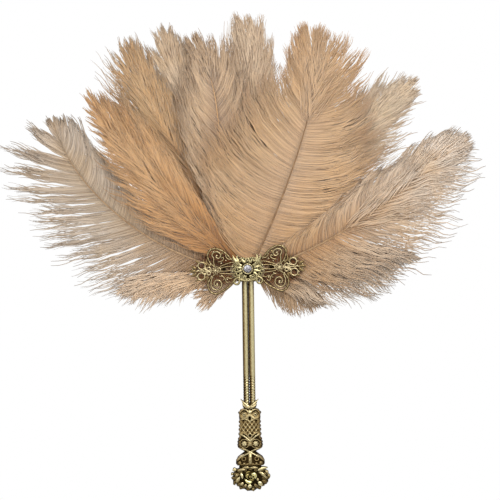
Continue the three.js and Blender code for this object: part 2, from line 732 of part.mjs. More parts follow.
function finialRoseGeometry() {
  const pieces = [
    plateOf(ellipseShape(0.72 * ROSE_RADIUS, 0.72 * ROSE_RADIUS, 0, 0, 12), 0.5 * ROSE_THICKNESS),
  ];
  for (let petal = 0; petal < 6; petal++) {
    const turn = (Math.PI / 3) * petal;
    const leaf = new THREE.SphereGeometry(0.36 * ROSE_RADIUS, 5, 4).scale(1, 1, 0.7);
    const reach = 0.6 * ROSE_RADIUS;
    pieces.push(
      leaf.translate(reach * Math.cos(turn), reach * Math.sin(turn), 0.26 * ROSE_RADIUS),
    );
  }
  const bud = new THREE.SphereGeometry(0.34 * ROSE_RADIUS, 7, 5);
  pieces.push(bud.translate(0, 0, 0.5 * ROSE_THICKNESS));
  return geometryOf(joined(pieces));
}

// The hub's own origin is the middle of the felt backing's rear face.
const fan = new THREE.Group();
const hub = new THREE.Group();
hub.position.set(0, HANDLE_DEPTH, HUB_HEIGHT);
fan.add(hub);
const plumes = new THREE.Group();
PLUME_SHARES.forEach((plume, index) => {
  const label = `plume_${String(index + 1).padStart(2, "0")}`;
  const vaneLook = { color: VANE_TONES[plume.tone], metalness: 0, roughness: 0.85 };
  plumes.add(meshOf(`${label}_shaft`, shaftGeometry(plume), SHAFT_LOOK));
  plumes.add(meshOf(`${label}_vane`, vaneGeometry(plume), vaneLook));
});
hub.add(plumes);
hub.add(meshOf("glue_core", coreGeometry(), GLUE_LOOK));

// The felt backing and the brooch lie in the fan's plane, with their local +Z to the front.
const backing = new THREE.Group();
backing.rotation.set(Math.PI / 2, 0, 0);
backing.add(meshOf("felt_backing", feltGeometry(), FELT_LOOK));
hub.add(backing);

const brooch = new THREE.Group();
brooch.rotation.set(Math.PI / 2, 0, BROOCH_TILT);
const filigree = meshOf("front_filigree", filigreeGeometry(), METAL_LOOK);
filigree.position.z = FILIGREE_REAR;
const ornament = meshOf("centre_ornament", centreOrnamentGeometry(), BRIGHT_LOOK);
ornament.position.z = PLATE_REAR;
const cup = meshOf("gem_cup", gemCupGeometry(), BRIGHT_LOOK);
cup.position.z = CUP_REAR;
const crystal = meshOf("crystal", crystalGeometry(), CRYSTAL_LOOK);
crystal.position.z = CUP_REAR + 0.26 * CUP_HEIGHT + FIT_GAP;
brooch.add(filigree, ornament, cup, crystal);
for (const [name, side] of [["left_flower", -1], ["right_flower", 1]]) {
  const flower = meshOf(name, flowerGeometry(), BRIGHT_LOOK);
  flower.position.set(side * FLOWER_SEAT_SHARES.x * WING_REACH, 0, PLATE_REAR);
  brooch.add(flower);
}
hub.add(brooch);

// The handle, whose middle plane passes through both prongs
const handle = new THREE.Group();
for (const [name, side] of [["left_prong", -1], ["right_prong", 1]]) {
  const prong = meshOf(name, prongGeometry(), METAL_LOOK);
  prong.position.set(side * prongOffset, 0, PRONG_BOTTOM);
  handle.add(prong);
}
handle.add(meshOf("leaf_collar", collarGeometry(), METAL_LOOK));
handle.add(meshOf("grip_casting", gripGeometry(), METAL_LOOK));
handle.add(meshOf("finial_shell", finialShellGeometry(), METAL_LOOK));
const rose = meshOf("finial_rose", finialRoseGeometry(), BRIGHT_LOOK);
rose.rotation.x = Math.PI / 2;
rose.position.set(0, -roseSeat - FIT_GAP, roseMiddle);
handle.add(rose);
fan.add(handle);

export default fan;
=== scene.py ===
import json
import math

import bpy
import numpy as np
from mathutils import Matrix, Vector


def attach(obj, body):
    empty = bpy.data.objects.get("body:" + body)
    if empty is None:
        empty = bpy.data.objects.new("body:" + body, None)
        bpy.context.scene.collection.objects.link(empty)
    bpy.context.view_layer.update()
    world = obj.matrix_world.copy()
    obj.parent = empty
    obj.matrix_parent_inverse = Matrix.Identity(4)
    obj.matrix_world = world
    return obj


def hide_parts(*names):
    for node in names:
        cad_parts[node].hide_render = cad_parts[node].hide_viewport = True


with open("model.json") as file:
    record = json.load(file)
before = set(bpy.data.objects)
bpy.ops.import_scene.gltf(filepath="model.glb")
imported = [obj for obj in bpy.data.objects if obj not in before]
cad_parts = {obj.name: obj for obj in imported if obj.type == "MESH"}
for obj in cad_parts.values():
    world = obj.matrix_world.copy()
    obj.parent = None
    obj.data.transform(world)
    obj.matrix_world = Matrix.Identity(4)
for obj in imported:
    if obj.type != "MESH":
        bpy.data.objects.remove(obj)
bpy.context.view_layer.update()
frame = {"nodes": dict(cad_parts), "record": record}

# A feather fan: curled plumes behind a filigree brooch, on a slender cast handle.
# All shapes are worked out in millimetres and turned to metres as their meshes are made.
# Hub coordinates have their origin at the gem. The hub lies HUB_HEIGHT up the handle.
# A table whose name ends in SHARES holds shares of the sizes that its piece names.
MM = 0.001

# Driving sizes in millimetres, as in the part's own source.
HUB_HEIGHT = 112
HANDLE_DEPTH = 8.7
FIT_GAP = 0.3
PLUME_LENGTH = 197
QUILL_START = 9
QUILL_CENTRE_DROP = 4
QUILL_RADIUS = 0.9
SHAFT_TIP_RADIUS = 0.32
REAR_LAYER = 2.7
LAYER_PITCH = 1.5
FLAT_RADIUS = 50
FAN_RADIUS = 200
TIP_SPREAD = 1.1
DISH_DEPTH = 16
HOOK_START_SHARE = 0.6


def side(lengths, root, end, notch, fold=(0.45, 0.68), splay=0, bunches=6, pull=0.2, hold=1.5, wave=1,
         down=1, dense=1, shade=0, streaky=1):
    """One side of a plume. lengths gives the barbs' length in millimetres at shares of the shaft.
    root and end are a barb's angles from the shaft. They close by the first part of fold, from its
    second part on, and open by splay at the hub. The barbs gather in bunches by pull, later along their
    length with a larger hold, and notch is how far the barbs between two bunches reach. With no number
    of bunches there is one at each share of lengths. wave is how strongly the barbs sway, down how far
    the soft down reaches towards the thin ends, dense how many barbs there are, shade how much painted
    shade darkens them, and streaky this side's part of the plume's streaks."""
    return dict(
        lengths=np.array(lengths, float), root=root, end=end, notch=notch, fold=fold, splay=splay,
        bunches=bunches, pull=pull, hold=hold, wave=wave, down=down, dense=dense, shade=shade,
        streaky=streaky,
    )


# lean, bend and hook are degrees, length is a share of PLUME_LENGTH and start the share where the
# barbs begin. level counts the layers from the rear. cover is the part of the shaft that barbs hide,
# and tufted how closely small locks of barbs cling. tint, root_tint, tip_tint and hub_tone_and_shade
# change the tone of the whole barb, of its root, of its tip, and of what lies within hub_reach
# millimetres of the hub, where the barbs' own deeper tone comes with painted shade. streaks is how
# strongly single dark barbs stand out, wisps how thick the thin dark ones are, unruly how far the
# barbs stray from their neighbours' way, and worn_tip the share of barbs that the tip has lost.
PLUME_DEFAULTS = dict(
    start=0.06, cover=(0, 1), tufted=0.4, tip_tint=(1, 1, 1), hub_tone_and_shade=(0.96, 0.93, 0.88), hub_reach=70,
    streaks=1, wisps=1, unruly=1, worn_tip=0,
)
PLUME_SHARES = {
    "plume_01": dict(
        lean=-115, bend=-4, hook=0, length=0.152, level=2, start=0.22, tone="tan",
        left=side(((0.22, 14), (0.6, 25), (1, 13)), 44, 24, 0.8, bunches=5, pull=0.85, hold=1, down=0.8),
        right=side(((0.22, 13), (0.6, 23), (1, 12)), 40, 22, 0.85, bunches=5, pull=0.85, hold=1, down=0.8),
        cover=(0.2, 1), tufted=0.6, tint=(1, 1.02, 1.05), root_tint=(0.9, 0.88, 0.85),
        tip_tint=(1, 1.08, 1.15),
    ),
    "plume_02": dict(
        lean=-92, bend=-6, hook=0, length=0.431, level=4, tone="tan",
        left=side(((0.06, 16), (0.2, 25), (0.3, 42), (0.45, 43), (0.6, 37), (0.85, 26), (1, 17)),
                  18, 50, 0.85, fold=(0.2, 0.68), bunches=12, pull=0.75, hold=1.2, down=0.9),
        right=side(((0.06, 30), (0.5, 34), (1, 15)), 14, -26, 0.8, fold=(0.1, 0.68), bunches=9, pull=0.5),
        cover=(0.06, 1), tint=(1.03, 1.07, 1.12), root_tint=(0.97, 0.95, 0.92), tip_tint=(1, 1.08, 1.18),
        hub_tone_and_shade=(0.95, 0.9, 0.83), hub_reach=100,
    ),
    "plume_03": dict(
        lean=-78.3, bend=53.7, hook=10.7, length=1, level=3, tone="grey",
        left=side(((0.1, 56), (0.16, 67), (0.2, 73), (0.235, 81), (0.28, 76), (0.333, 76), (0.401, 74),
                   (0.462, 76), (0.49, 74), (0.551, 73), (0.6, 65), (0.645, 70), (0.691, 67), (0.735, 69),
                   (0.807, 55), (0.872, 38), (0.976, 9)),
                  54, 41, 0.63, bunches=0, pull=0.7, hold=1.2, wave=0.9, down=1.08),
        right=side(((0.06, 27), (0.5, 54), (0.8, 44), (0.88, 30), (0.94, 15), (1, 7)),
                   72, -4, 0.92, fold=(0.2, 0.68), bunches=7, pull=0.15, shade=0.08, streaky=0.35),
        cover=None, tufted=0.3, tint=(0.97, 0.97, 0.97), root_tint=(0.97, 0.955, 0.93),
        hub_tone_and_shade=(0.86, 0.76, 0.64), hub_reach=115, wisps=1.25,
    ),
    "plume_04": dict(
        lean=-47.9, bend=12.1, hook=4.7, length=0.878, level=6, tone="peach",
        left=side(((0.06, 40), (0.12, 60), (0.2, 67), (0.32, 66), (0.43, 59), (0.57, 46), (0.68, 37),
                   (0.8, 31), (0.88, 29), (0.94, 21), (1, 18)),
                  40, 14, 0.74, fold=(0.5, 0.6), bunches=17, pull=0.42, down=0.88),
        right=side(((0.06, 40), (0.3, 78), (0.55, 72), (0.8, 44), (1, 16)),
                   38, 5, 0.9, fold=(0.5, 0.6), bunches=7, shade=0.1),
        cover=(0.06, 0.8), tufted=0.25, tint=(0.98, 0.965, 0.915), root_tint=(0.92, 0.9, 0.86),
        tip_tint=(1.03, 1.08, 1.14), hub_tone_and_shade=(0.84, 0.76, 0.65), hub_reach=108, wisps=1.2, worn_tip=0.8,
    ),
    "plume_05": dict(
        lean=-29.1, bend=1.2, hook=12, length=0.95, level=2, tone="peach",
        left=side(((0.06, 40), (0.3, 74), (0.56, 80), (0.65, 71), (0.77, 60), (0.86, 46), (0.93, 31),
                   (1, 17)), 42, 10, 0.72, fold=(0.6, 0.6), bunches=15, pull=0.6, down=0.85),
        right=side(((0.06, 40), (0.4, 60), (0.6, 50), (0.72, 46), (0.8, 50), (1, 16)),
                   44, 4, 0.85, fold=(0.6, 0.6), bunches=9, pull=0.4),
        tint=(0.975, 0.995, 0.985), root_tint=(0.97, 0.92, 0.84), tip_tint=(0.95, 1.07, 1.28),
        hub_tone_and_shade=(0.69, 0.59, 0.45), hub_reach=155, worn_tip=0.35,
    ),
    "plume_06": dict(
        lean=-17.8, bend=-2.6, hook=10, length=0.95, level=1, tone="tan",
        left=side(((0.06, 35), (0.4, 60), (0.69, 55), (0.79, 45), (0.9, 34), (1, 16)),
                  50, 2, 0.8, fold=(0.5, 0.6), bunches=11, pull=0.5),
        right=side(((0.06, 35), (0.4, 60), (0.66, 50), (0.75, 49), (0.89, 30), (1, 14)),
                   50, 0, 0.82, fold=(0.5, 0.6), bunches=12, pull=0.45),
        tint=(1.02, 1.06, 1.1), root_tint=(1, 0.99, 0.97), tip_tint=(0.94, 0.98, 1.04), worn_tip=0.35,
    ),
    "plume_07": dict(
        lean=-15.3, bend=16.8, hook=-35.4, length=0.88, level=4, tone="peach",
        left=side(((0.06, 40), (0.4, 74), (0.5, 74), (0.61, 64), (0.8, 40), (1, 17)),
                  48, 0, 0.82, fold=(0.4, 0.6), bunches=12, pull=0.35),
        right=side(((0.06, 40), (0.4, 66), (0.51, 65), (0.7, 50), (0.8, 45), (0.88, 32), (1, 18)),
                   54, 2, 0.85, fold=(0.4, 0.6), bunches=11, pull=0.4),
        cover=(0.84, 1), tufted=0.3, tint=(0.94, 0.99, 1.06), root_tint=(0.9, 0.89, 0.88),
        hub_tone_and_shade=(1, 1, 1),
    ),
    "plume_08": dict(
        lean=-1.4, bend=13.2, hook=-31.9, length=0.92, level=0, start=0.05, tone="tan",
        left=side(((0.06, 35), (0.4, 60), (0.61, 66), (0.74, 60), (0.88, 42), (1, 23)),
                  50, 0, 0.84, fold=(0.3, 0.6), bunches=12, pull=0.45),
        right=side(((0.06, 35), (0.4, 52), (0.65, 42), (0.78, 38), (0.885, 38), (0.96, 26), (1, 21)),
                   48, 4, 0.82, fold=(0.3, 0.6), bunches=12, pull=0.45),
        tufted=0.5, tint=(1.04, 1.08, 1.12), root_tint=(1.03, 1.02, 1), worn_tip=0.35,
    ),
    "plume_09": dict(
        lean=27.2, bend=-15.9, hook=-21.3, length=0.9, level=7, start=0.04, tone="peach",
        left=side(((0.04, 56), (0.22, 92), (0.38, 88), (0.5, 72), (0.6, 65), (0.69, 49), (0.8, 46),
                   (0.89, 40), (1, 25)), 96, 42, 0.9, fold=(0.7, 0.35), bunches=12, pull=0.05, dense=1.15),
        right=side(((0.04, 60), (0.3, 92), (0.44, 83), (0.58, 71), (0.69, 58), (0.76, 52), (0.82, 57),
                    (0.88, 44), (0.935, 33), (1, 22)),
                   84, 30, 0.88, fold=(0.4, 0.6), bunches=14, pull=0.3, hold=4, dense=1.15),
        cover=(0.68, 1), tufted=0.1, tint=(0.955, 0.975, 0.99), root_tint=(0.99, 0.985, 0.975),
        tip_tint=(1.18, 1.18, 1.2), streaks=0.3, unruly=0.45,
    ),
    "plume_10": dict(
        lean=35.8, bend=9.6, hook=10.8, length=0.915, level=3, tone="tan",
        left=side(((0.06, 40), (0.4, 60), (0.65, 51), (0.69, 54), (0.74, 53), (0.85, 39), (0.95, 27),
                   (1, 20)), 48, 6, 0.85, fold=(0.4, 0.6), bunches=12, pull=0.45),
        right=side(((0.06, 40), (0.4, 62), (0.52, 57), (0.57, 64), (0.65, 55), (0.75, 45), (0.86, 36),
                    (1, 18)), 56, 18, 0.72, fold=(0.4, 0.6), bunches=19, pull=0.65, down=0.8),
        tint=(1.05, 1.11, 1.17), root_tint=(1, 0.99, 0.95), wisps=1.2,
    ),
    "plume_11": dict(
        lean=72.6, bend=-32.7, hook=21.8, length=0.95, level=8, start=0.08, tone="grey",
        left=side(((0.08, 30), (0.3, 46), (0.45, 54), (0.6, 41), (0.72, 40), (0.85, 36), (0.9, 31),
                   (1, 14)), 70, -5, 0.92, fold=(0.3, 0.6), bunches=9, pull=0.25),
        right=side(((0.08, 60), (0.15, 72), (0.25, 79), (0.44, 78), (0.5, 77), (0.58, 69), (0.66, 57),
                    (0.73, 54), (0.79, 53), (0.85, 41), (0.93, 26), (1, 14)),
                   58, 38, 0.84, bunches=42, pull=0.6, hold=0.9, wave=1.8, down=0.68, dense=0.95),
        cover=(0.4, 1), tufted=0.2, tint=(1.115, 1.125, 1.14), root_tint=(0.98, 0.93, 0.87),
        tip_tint=(0.98, 1, 1.03), hub_tone_and_shade=(0.83, 0.745, 0.63), hub_reach=190, streaks=1.6, wisps=1.35,
    ),
    "plume_12": dict(
        lean=79, bend=7.8, hook=12.2, length=0.62, level=4, start=0.08, tone="tan",
        left=side(((0.08, 20), (0.4, 28), (0.8, 12), (1, 8)),
                  46, 18, 0.85, bunches=18, pull=0.7, wave=1.5, down=0.7, dense=0.8),
        right=side(((0.08, 47), (0.12, 52), (0.2, 54), (0.3, 55), (0.37, 58), (0.45, 54), (0.56, 46),
                    (0.8, 24), (1, 10)),
                   46, 38, 0.94, splay=12, bunches=27, pull=0.35, hold=1.2, wave=1.5),
        cover=(0.2, 1), tufted=0.3, tint=(0.993, 1.073, 1.186), root_tint=(0.969, 0.902, 0.782),
        tip_tint=(0.791, 0.798, 0.786), hub_tone_and_shade=(0.97, 0.89, 0.78), hub_reach=90, streaks=0.7,
        wisps=1.2,
    ),
    "plume_13": dict(
        lean=100, bend=22, hook=0, length=0.26, level=2, start=0.12, tone="tan",
        left=side(((0.12, 16), (0.5, 18), (0.8, 9), (1, 6)), 40, 16, 0.85, pull=0.4),
        right=side(((0.12, 24), (0.3, 30), (0.5, 28), (0.75, 21), (1, 10)),
                   70, 50, 0.95, bunches=9, pull=0.1, shade=0.15),
        cover=(0.2, 1), tint=(0.84, 0.83, 0.8), root_tint=(0.86, 0.82, 0.76),
    ),
}


# Arrays, meshes and colours.

def unit(vectors):
    return vectors / np.maximum(np.linalg.norm(vectors, axis=-1, keepdims=True), 1e-9)


def ramp(value, low, high):
    return np.clip((value - low) / (high - low), 0, 1)


def turns(count, start=0):
    """Angles at equal steps all the way round."""
    return (np.arange(count) + start) * 2 * math.pi / count


def sums(steps):
    """Running sums along the last axis, from zero."""
    return np.concatenate([np.zeros((*steps.shape[:-1], 1)), np.cumsum(steps, -1)], -1)


def points_of(*parts):
    return np.stack(np.broadcast_arrays(*parts), -1)


def tube_faces(rows, columns, closed=False):
    """Quads between the rings of a tube, and triangles that close its ends round two extra points at
    the end of its list. A closed tube has none: its last ring meets its first."""
    index = np.arange(rows * columns).reshape(rows, columns)
    if closed:
        index = np.concatenate([index, index[:1]])
    turned = np.roll(index, -1, 1)
    quads = np.stack([index[:-1], turned[:-1], turned[1:], index[1:]], -1).reshape(-1, 4)
    if closed:
        return quads, np.zeros((0, 3), int)
    start, end = rows * columns, rows * columns + 1
    first = np.stack([turned[0], index[0], np.full(columns, start)], -1)
    last = np.stack([index[-1], turned[-1], np.full(columns, end)], -1)
    return quads, np.concatenate([first, last])


def round_rings(line, wide, normal, radius, sides, flat):
    """Rings of points round a line, which are flat times as deep as they are wide."""
    turn = turns(sides)
    across = (radius[:, None] * np.cos(turn))[..., None]
    deep = (radius[:, None] * np.sin(turn) * flat)[..., None]
    return line[:, None] + wide[:, None] * across + normal[:, None] * deep


def linked(name, data):
    """A new object of the scene."""
    made = bpy.data.objects.new(name, data)
    bpy.context.scene.collection.objects.link(made)
    return made


def mesh_piece(name, points, faces, material, replaced, smooth=True, uv=None):
    """A piece from points in millimetres. faces lists arrays of faces with 3 or 4 corners each."""
    points = np.asarray(points, float).reshape(-1, 3) * MM
    corners = np.concatenate([part.ravel() for part in faces])
    sizes = np.concatenate([np.full(len(part), part.shape[1]) for part in faces])
    mesh = bpy.data.meshes.new(name)
    mesh.vertices.add(len(points))
    mesh.vertices.foreach_set("co", points.astype(np.float32).ravel())
    mesh.loops.add(len(corners))
    mesh.loops.foreach_set("vertex_index", corners.astype(np.int32))
    mesh.polygons.add(len(sizes))
    mesh.polygons.foreach_set("loop_start", (np.cumsum(sizes) - sizes).astype(np.int32))
    mesh.polygons.foreach_set("loop_total", sizes.astype(np.int32))
    mesh.polygons.foreach_set("use_smooth", np.full(len(sizes), smooth))
    if uv is not None:
        layer = mesh.uv_layers.new(name="OFBake")
        layer.data.foreach_set("uv", uv.astype(np.float32)[corners].ravel())
    mesh.update(calc_edges=True)
    mesh.validate()
    piece = linked(name, mesh)
    mesh.materials.append(material)
    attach(piece, "root")
    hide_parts(*replaced)
    return piece


def srgb(red, green, blue):
    """A written 8-bit colour as Blender's linear one."""
    parts = []
    for value in (red / 255, green / 255, blue / 255):
        parts.append(value / 12.92 if value <= 0.04045 else ((value + 0.055) / 1.055) ** 2.4)
    return (*parts, 1)


def grey(level):
    return (level, level, level, 1)


def tinted(colour, *tints):
    """A written colour times each of the tints."""
    for tint in tints:
        colour = [min(255, part * share) for part, share in zip(colour, tint)]
    return srgb(*colour)


# Materials.

class Nodes:
    """The nodes of a material or a world, with short ways to add and join them."""

    def __init__(self, owner, shader="Principled BSDF"):
        owner.use_nodes = True
        self.owner = owner
        self.tree = owner.node_tree
        self.shader = self.tree.nodes[shader]

    def put(self, socket, value):
        if isinstance(value, bpy.types.NodeSocket):
            self.tree.links.new(value, socket)
        else:
            socket.default_value = value

    def fill(self, node, inputs):
        for key, value in inputs.items():
            self.put(node.inputs[key.replace("_", " ")], value)

    def set(self, **inputs):
        self.fill(self.shader, inputs)

    def add(self, kind, settings=None, **inputs):
        node = self.tree.nodes.new("ShaderNode" + kind)
        for key, value in (settings or {}).items():
            setattr(node, key, value)
        self.fill(node, inputs)
        return node

    def calculate(self, operation, *values, kind="Math", result="Value"):
        node = self.add(kind, dict(operation=operation))
        for socket, value in zip(node.inputs, values):
            self.put(socket, value)
        return node.outputs[result]

    def place(self):
        return self.add("TexCoord").outputs["Object"]

    def noise(self, place, scale, detail):
        return self.add("TexNoise", Vector=place, Scale=scale, Detail=detail).outputs["Fac"]

    def bump(self, height, strength, depth):
        return self.add("Bump", Height=height, Strength=strength, Distance=depth * MM).outputs["Normal"]

    def ramp(self, factor, *stops):
        node = self.add("ValToRGB", Fac=factor)
        elements = node.color_ramp.elements
        while len(elements) < len(stops):
            elements.new(0.5)
        for element, (place, colour) in zip(elements, stops):
            element.position = place
            element.color = colour
        return node.outputs["Color"]

    def mix(self, kind, factor, first, second):
        node = self.add("Mix", dict(data_type="RGBA", blend_type=kind))
        self.put(node.inputs["Factor"], factor)
        self.put(node.inputs[6], first)
        self.put(node.inputs[7], second)
        return node.outputs[2]


def material_nodes(name):
    return Nodes(bpy.data.materials.new(name))


def grained_material(name, scale, detail, dark, light, bump, **settings):
    """One fine grain gives both the colour, between two stops, and the bump, whose depth is in
    millimetres."""
    nodes = material_nodes(name)
    grain = nodes.noise(nodes.place(), scale, detail)
    nodes.set(Base_Color=nodes.ramp(grain, dark, light), Normal=nodes.bump(grain, *bump), **settings)
    return nodes.owner


FEATHER_DARK = (0.64, 0.57, 0.5, 1)
PALE_PATCH = (0.97, 0.98, 0.99, 1)
GOLDEN_PATCH = (1, 0.965, 0.9, 1)
FEATHER_TONES = {
    "peach": ((216, 178, 142), (222, 181, 138), (180, 144, 110)),
    "tan": ((214, 184, 154), (220, 188, 154), (180, 150, 122)),
    "grey": ((206, 186, 162), (212, 194, 174), (146, 130, 114)),
}
# The colour of the brooch's painted shadow on the barbs.
BROOCH_SHADOW_TINT = (0.5, 0.33, 0.185, 1)
# The painted shadow that the brooch casts on the barbs behind each wing, in millimetres.
BROOCH_SHADOW_OFFSET = 24
BROOCH_SHADOW_HALF_WIDTH = 21.5
BROOCH_SHADOW_HALF_HEIGHT = 15


def painted_brooch_shadow(nodes, place):
    """Painted shadow: dark where the brooch shades the barbs behind it, white elsewhere."""
    for operation, value in (
        ("SUBTRACT", (0, 0, HUB_HEIGHT * MM)),
        ("ABSOLUTE", (0, 0, 0)),
        ("SUBTRACT", (BROOCH_SHADOW_OFFSET * MM, 0, 0)),
        ("MULTIPLY", (1 / (BROOCH_SHADOW_HALF_WIDTH * MM), 0, 1 / (BROOCH_SHADOW_HALF_HEIGHT * MM))),
    ):
        place = nodes.calculate(operation, place, value, kind="VectorMath", result="Vector")
    away = nodes.calculate("LENGTH", place, kind="VectorMath")
    return nodes.ramp(away, (0.78, BROOCH_SHADOW_TINT), (1, grey(1)))


def feather_material(name, root, middle, tip, hub_tone_and_shade, hub_reach):
    """Each barb's map runs from its root to its tip in u, and holds its own tone in v. Near the hub the
    plume takes its hub tone, partly its own deeper colour and partly painted shade, and behind the
    brooch it takes the brooch's painted shadow."""
    nodes = material_nodes(name)
    barb_map = nodes.add("UVMap", dict(uv_map="OFBake")).outputs["UV"]
    along, own = nodes.add("SeparateXYZ", Vector=barb_map).outputs[:2]
    full = nodes.ramp(along, (0, root), (0.4, middle), (0.82, middle), (1, tip))
    tone = nodes.ramp(own, (0, grey(0)), (0.16, grey(0.2)), (0.5, grey(0.65)), (1, grey(1)))
    colour = nodes.mix("MIX", tone, nodes.mix("MULTIPLY", 1, full, FEATHER_DARK), full)
    place = nodes.place()
    patches = nodes.noise(place, 38, 2)
    shade = nodes.ramp(patches, (0.36, PALE_PATCH), (0.5, grey(1)), (0.64, GOLDEN_PATCH))
    colour = nodes.mix("MULTIPLY", 1, colour, shade)
    # Near the hub the colour takes the hub tone: the barbs' deeper tone there together with painted shade.
    hub = (0, HANDLE_DEPTH * MM, HUB_HEIGHT * MM)
    away = nodes.calculate("DISTANCE", place, hub, kind="VectorMath")
    near = nodes.add("MapRange", Value=away, From_Min=0.3 * hub_reach * MM, From_Max=hub_reach * MM)
    hub_toned_and_shaded = nodes.mix("MULTIPLY", 1, colour, hub_tone_and_shade)
    colour = nodes.mix("MIX", near.outputs["Result"], hub_toned_and_shaded, colour)
    # The base colour carries the brooch's painted shadow on the barbs behind it.
    nodes.set(
        Base_Color=nodes.mix("MULTIPLY", 1, colour, painted_brooch_shadow(nodes, place)),
        Roughness=0.72, Sheen_Weight=0.25, Sheen_Roughness=0.5, Specular_IOR_Level=0.25,
    )
    return nodes.owner


def quill_material(name, dark, light):
    return grained_material(
        name, 260, 4, (0.3, srgb(*dark)), (0.7, srgb(*light)), (0.15, 0.2), Roughness=0.45
    )


def brass_material(name, *tones):
    """Dark in the recesses and bright on the worn heights, as the relief says; on the wires and rods the
    relief also holds painted highlights and painted shade. The tones run from the deepest to the highest."""
    nodes = material_nodes(name)
    relief = nodes.add("Attribute", dict(attribute_name="relief")).outputs["Fac"]
    grain = nodes.noise(nodes.place(), 700, 4)
    height = nodes.calculate("MULTIPLY_ADD", grain, 0.36, relief)
    height = nodes.calculate("SUBTRACT", height, 0.18)
    stops = zip((0.08, 0.34, 0.64, 0.95), (srgb(*tone) for tone in tones))
    rough = nodes.ramp(height, (0, grey(0.62)), (1, grey(0.26)))
    nodes.set(
        Base_Color=nodes.ramp(height, *stops), Metallic=1, Roughness=rough,
        Normal=nodes.bump(grain, 0.3, 0.2),
    )
    return nodes.owner


def crystal_material():
    """Clear stone over foil. Each facet shows the tone that its relief gives, a painted reflection that is
    lighter on the upper facets and darker on the lower ones.
    """
    nodes = material_nodes("cut crystal")
    tone = nodes.add("Attribute", dict(attribute_name="relief")).outputs["Fac"]
    dark, bright = (0, srgb(52, 48, 52)), (1, srgb(250, 250, 252))
    colour = nodes.ramp(tone, dark, (0.35, srgb(118, 112, 118)), (0.75, srgb(206, 204, 210)), bright)
    nodes.set(Base_Color=colour, Roughness=0.08, Transmission_Weight=0.25, IOR=1.6, Coat_Weight=0.6)
    return nodes.owner


QUILL = quill_material("quill horn", (138, 106, 72), (176, 144, 106))
QUILLS = {
    "plume_07": quill_material("golden quill horn", (196, 152, 104), (214, 172, 126)),
    "plume_09": quill_material("brown quill horn", (108, 78, 48), (150, 116, 78)),
}
BRASS_TONES = {
    "antique": ((40, 29, 14), (84, 65, 36), (130, 111, 73), (180, 167, 128)),
    "wear_and_sheen": ((32, 23, 10), (84, 66, 37), (148, 130, 90), (214, 202, 156)),
    "leafy": ((40, 30, 14), (106, 90, 56), (164, 148, 108), (206, 196, 152)),
    "rose": ((38, 29, 12), (104, 88, 46), (168, 154, 98), (226, 218, 158)),
    "bright": ((32, 23, 10), (82, 64, 35), (132, 115, 73), (178, 168, 128)),
    "dull": ((28, 20, 9), (72, 56, 32), (132, 113, 78), (200, 184, 144)),
}
BRASS = {name: brass_material(name + " brass", *tones) for name, tones in BRASS_TONES.items()}
SLOT_MATERIALS = {
    "antique_brass": BRASS["antique"],
    "bright_brass": BRASS["bright"],
    "felt": grained_material(
        "felt", 900, 6, (0.3, srgb(38, 32, 27)), (0.75, srgb(66, 56, 48)), (0.6, 0.4), Roughness=0.95,
        Sheen_Weight=0.3,
    ),
    "glue": grained_material(
        "set glue", 180, 3, (0.3, srgb(150, 128, 96)), (0.7, srgb(186, 164, 128)), (0.5, 1), Roughness=0.5
    ),
    "crystal": crystal_material(),
}
for subpart in frame["record"]["subparts"]:
    node_material = SLOT_MATERIALS.get(subpart["material_slot"])
    if node_material:
        slots = frame["nodes"][subpart["node"]].data.materials
        slots.clear()
        slots.append(node_material)


# Plumes.

SHAFT_RINGS = 72
SHAFT_SIDES = 10
SHOWN_SHAFT_SHARE = 0.97
BARB_STEPS = 13
TIP_CROWDING = 1.3
# Sizes of the barbs in millimetres.
LOCK_BULGE = 0.35
TIP_LIFT = 2
WAVE_HEIGHT = 1
WAVE_LENGTH = 22
FULL_WAVE_REACH = 30
COVER_OFFSETS = (-3.5, 7)
# The kinds of strand in a plume. The soft down lies at the back, then come the barbs, thin dark wisps
# between them, and barbs that sweep over the shaft. pitch, depth and width are millimetres.
DOWN = dict(pitch=0.65, long=(0.7, 0.96), loose=0.15, depth=0.35, width=1.15, tone=(0.5, 0.85))
BARB = dict(pitch=0.55, long=(0.93, 1.06), loose=0.8, depth=0, width=0.85, tone=(0.65, 1))
WISP = dict(pitch=2, long=(0.95, 1.12), loose=0.4, depth=-0.2, width=0.7, tone=(0.05, 0.5))
COVER = dict(pitch=0.7, long=(0.5, 0.95), loose=0.5, depth=-0.9, width=0.85, tone=(0.55, 1))


def shaft_curve(plume, shares):
    """Points x and z and headings of a plume's shaft at shares of its length, from the hub."""
    fine = np.linspace(0, 1, 401)
    hook = np.maximum(0, (fine - HOOK_START_SHARE) / (1 - HOOK_START_SHARE)) ** 2
    heading = np.radians(plume["lean"] + plume["bend"] * fine + plume["hook"] * hook)
    middle = (heading[1:] + heading[:-1]) / 2
    step = plume["length"] * PLUME_LENGTH / len(middle)
    lean = math.radians(plume["lean"])
    x = QUILL_START * math.sin(lean) + sums(step * np.sin(middle))
    z = QUILL_START * math.cos(lean) + sums(step * np.cos(middle)) - QUILL_CENTRE_DROP
    return [np.interp(shares, fine, values) for values in (x, z, heading)]


def outward(x, z):
    """How far a place is from the quills' centre, and as a share of the way over the fan's dish."""
    radius = np.hypot(x, z + QUILL_CENTRE_DROP)
    return radius, np.maximum(0, (radius - FLAT_RADIUS) / (FAN_RADIUS - FLAT_RADIUS))


def layer_y(x, z, level):
    """The middle of a plume's layer, on the dished surface that all plumes share."""
    out = outward(x, z)[1]
    return -(REAR_LAYER + level * (LAYER_PITCH + TIP_SPREAD * out) + DISH_DEPTH * out * out)


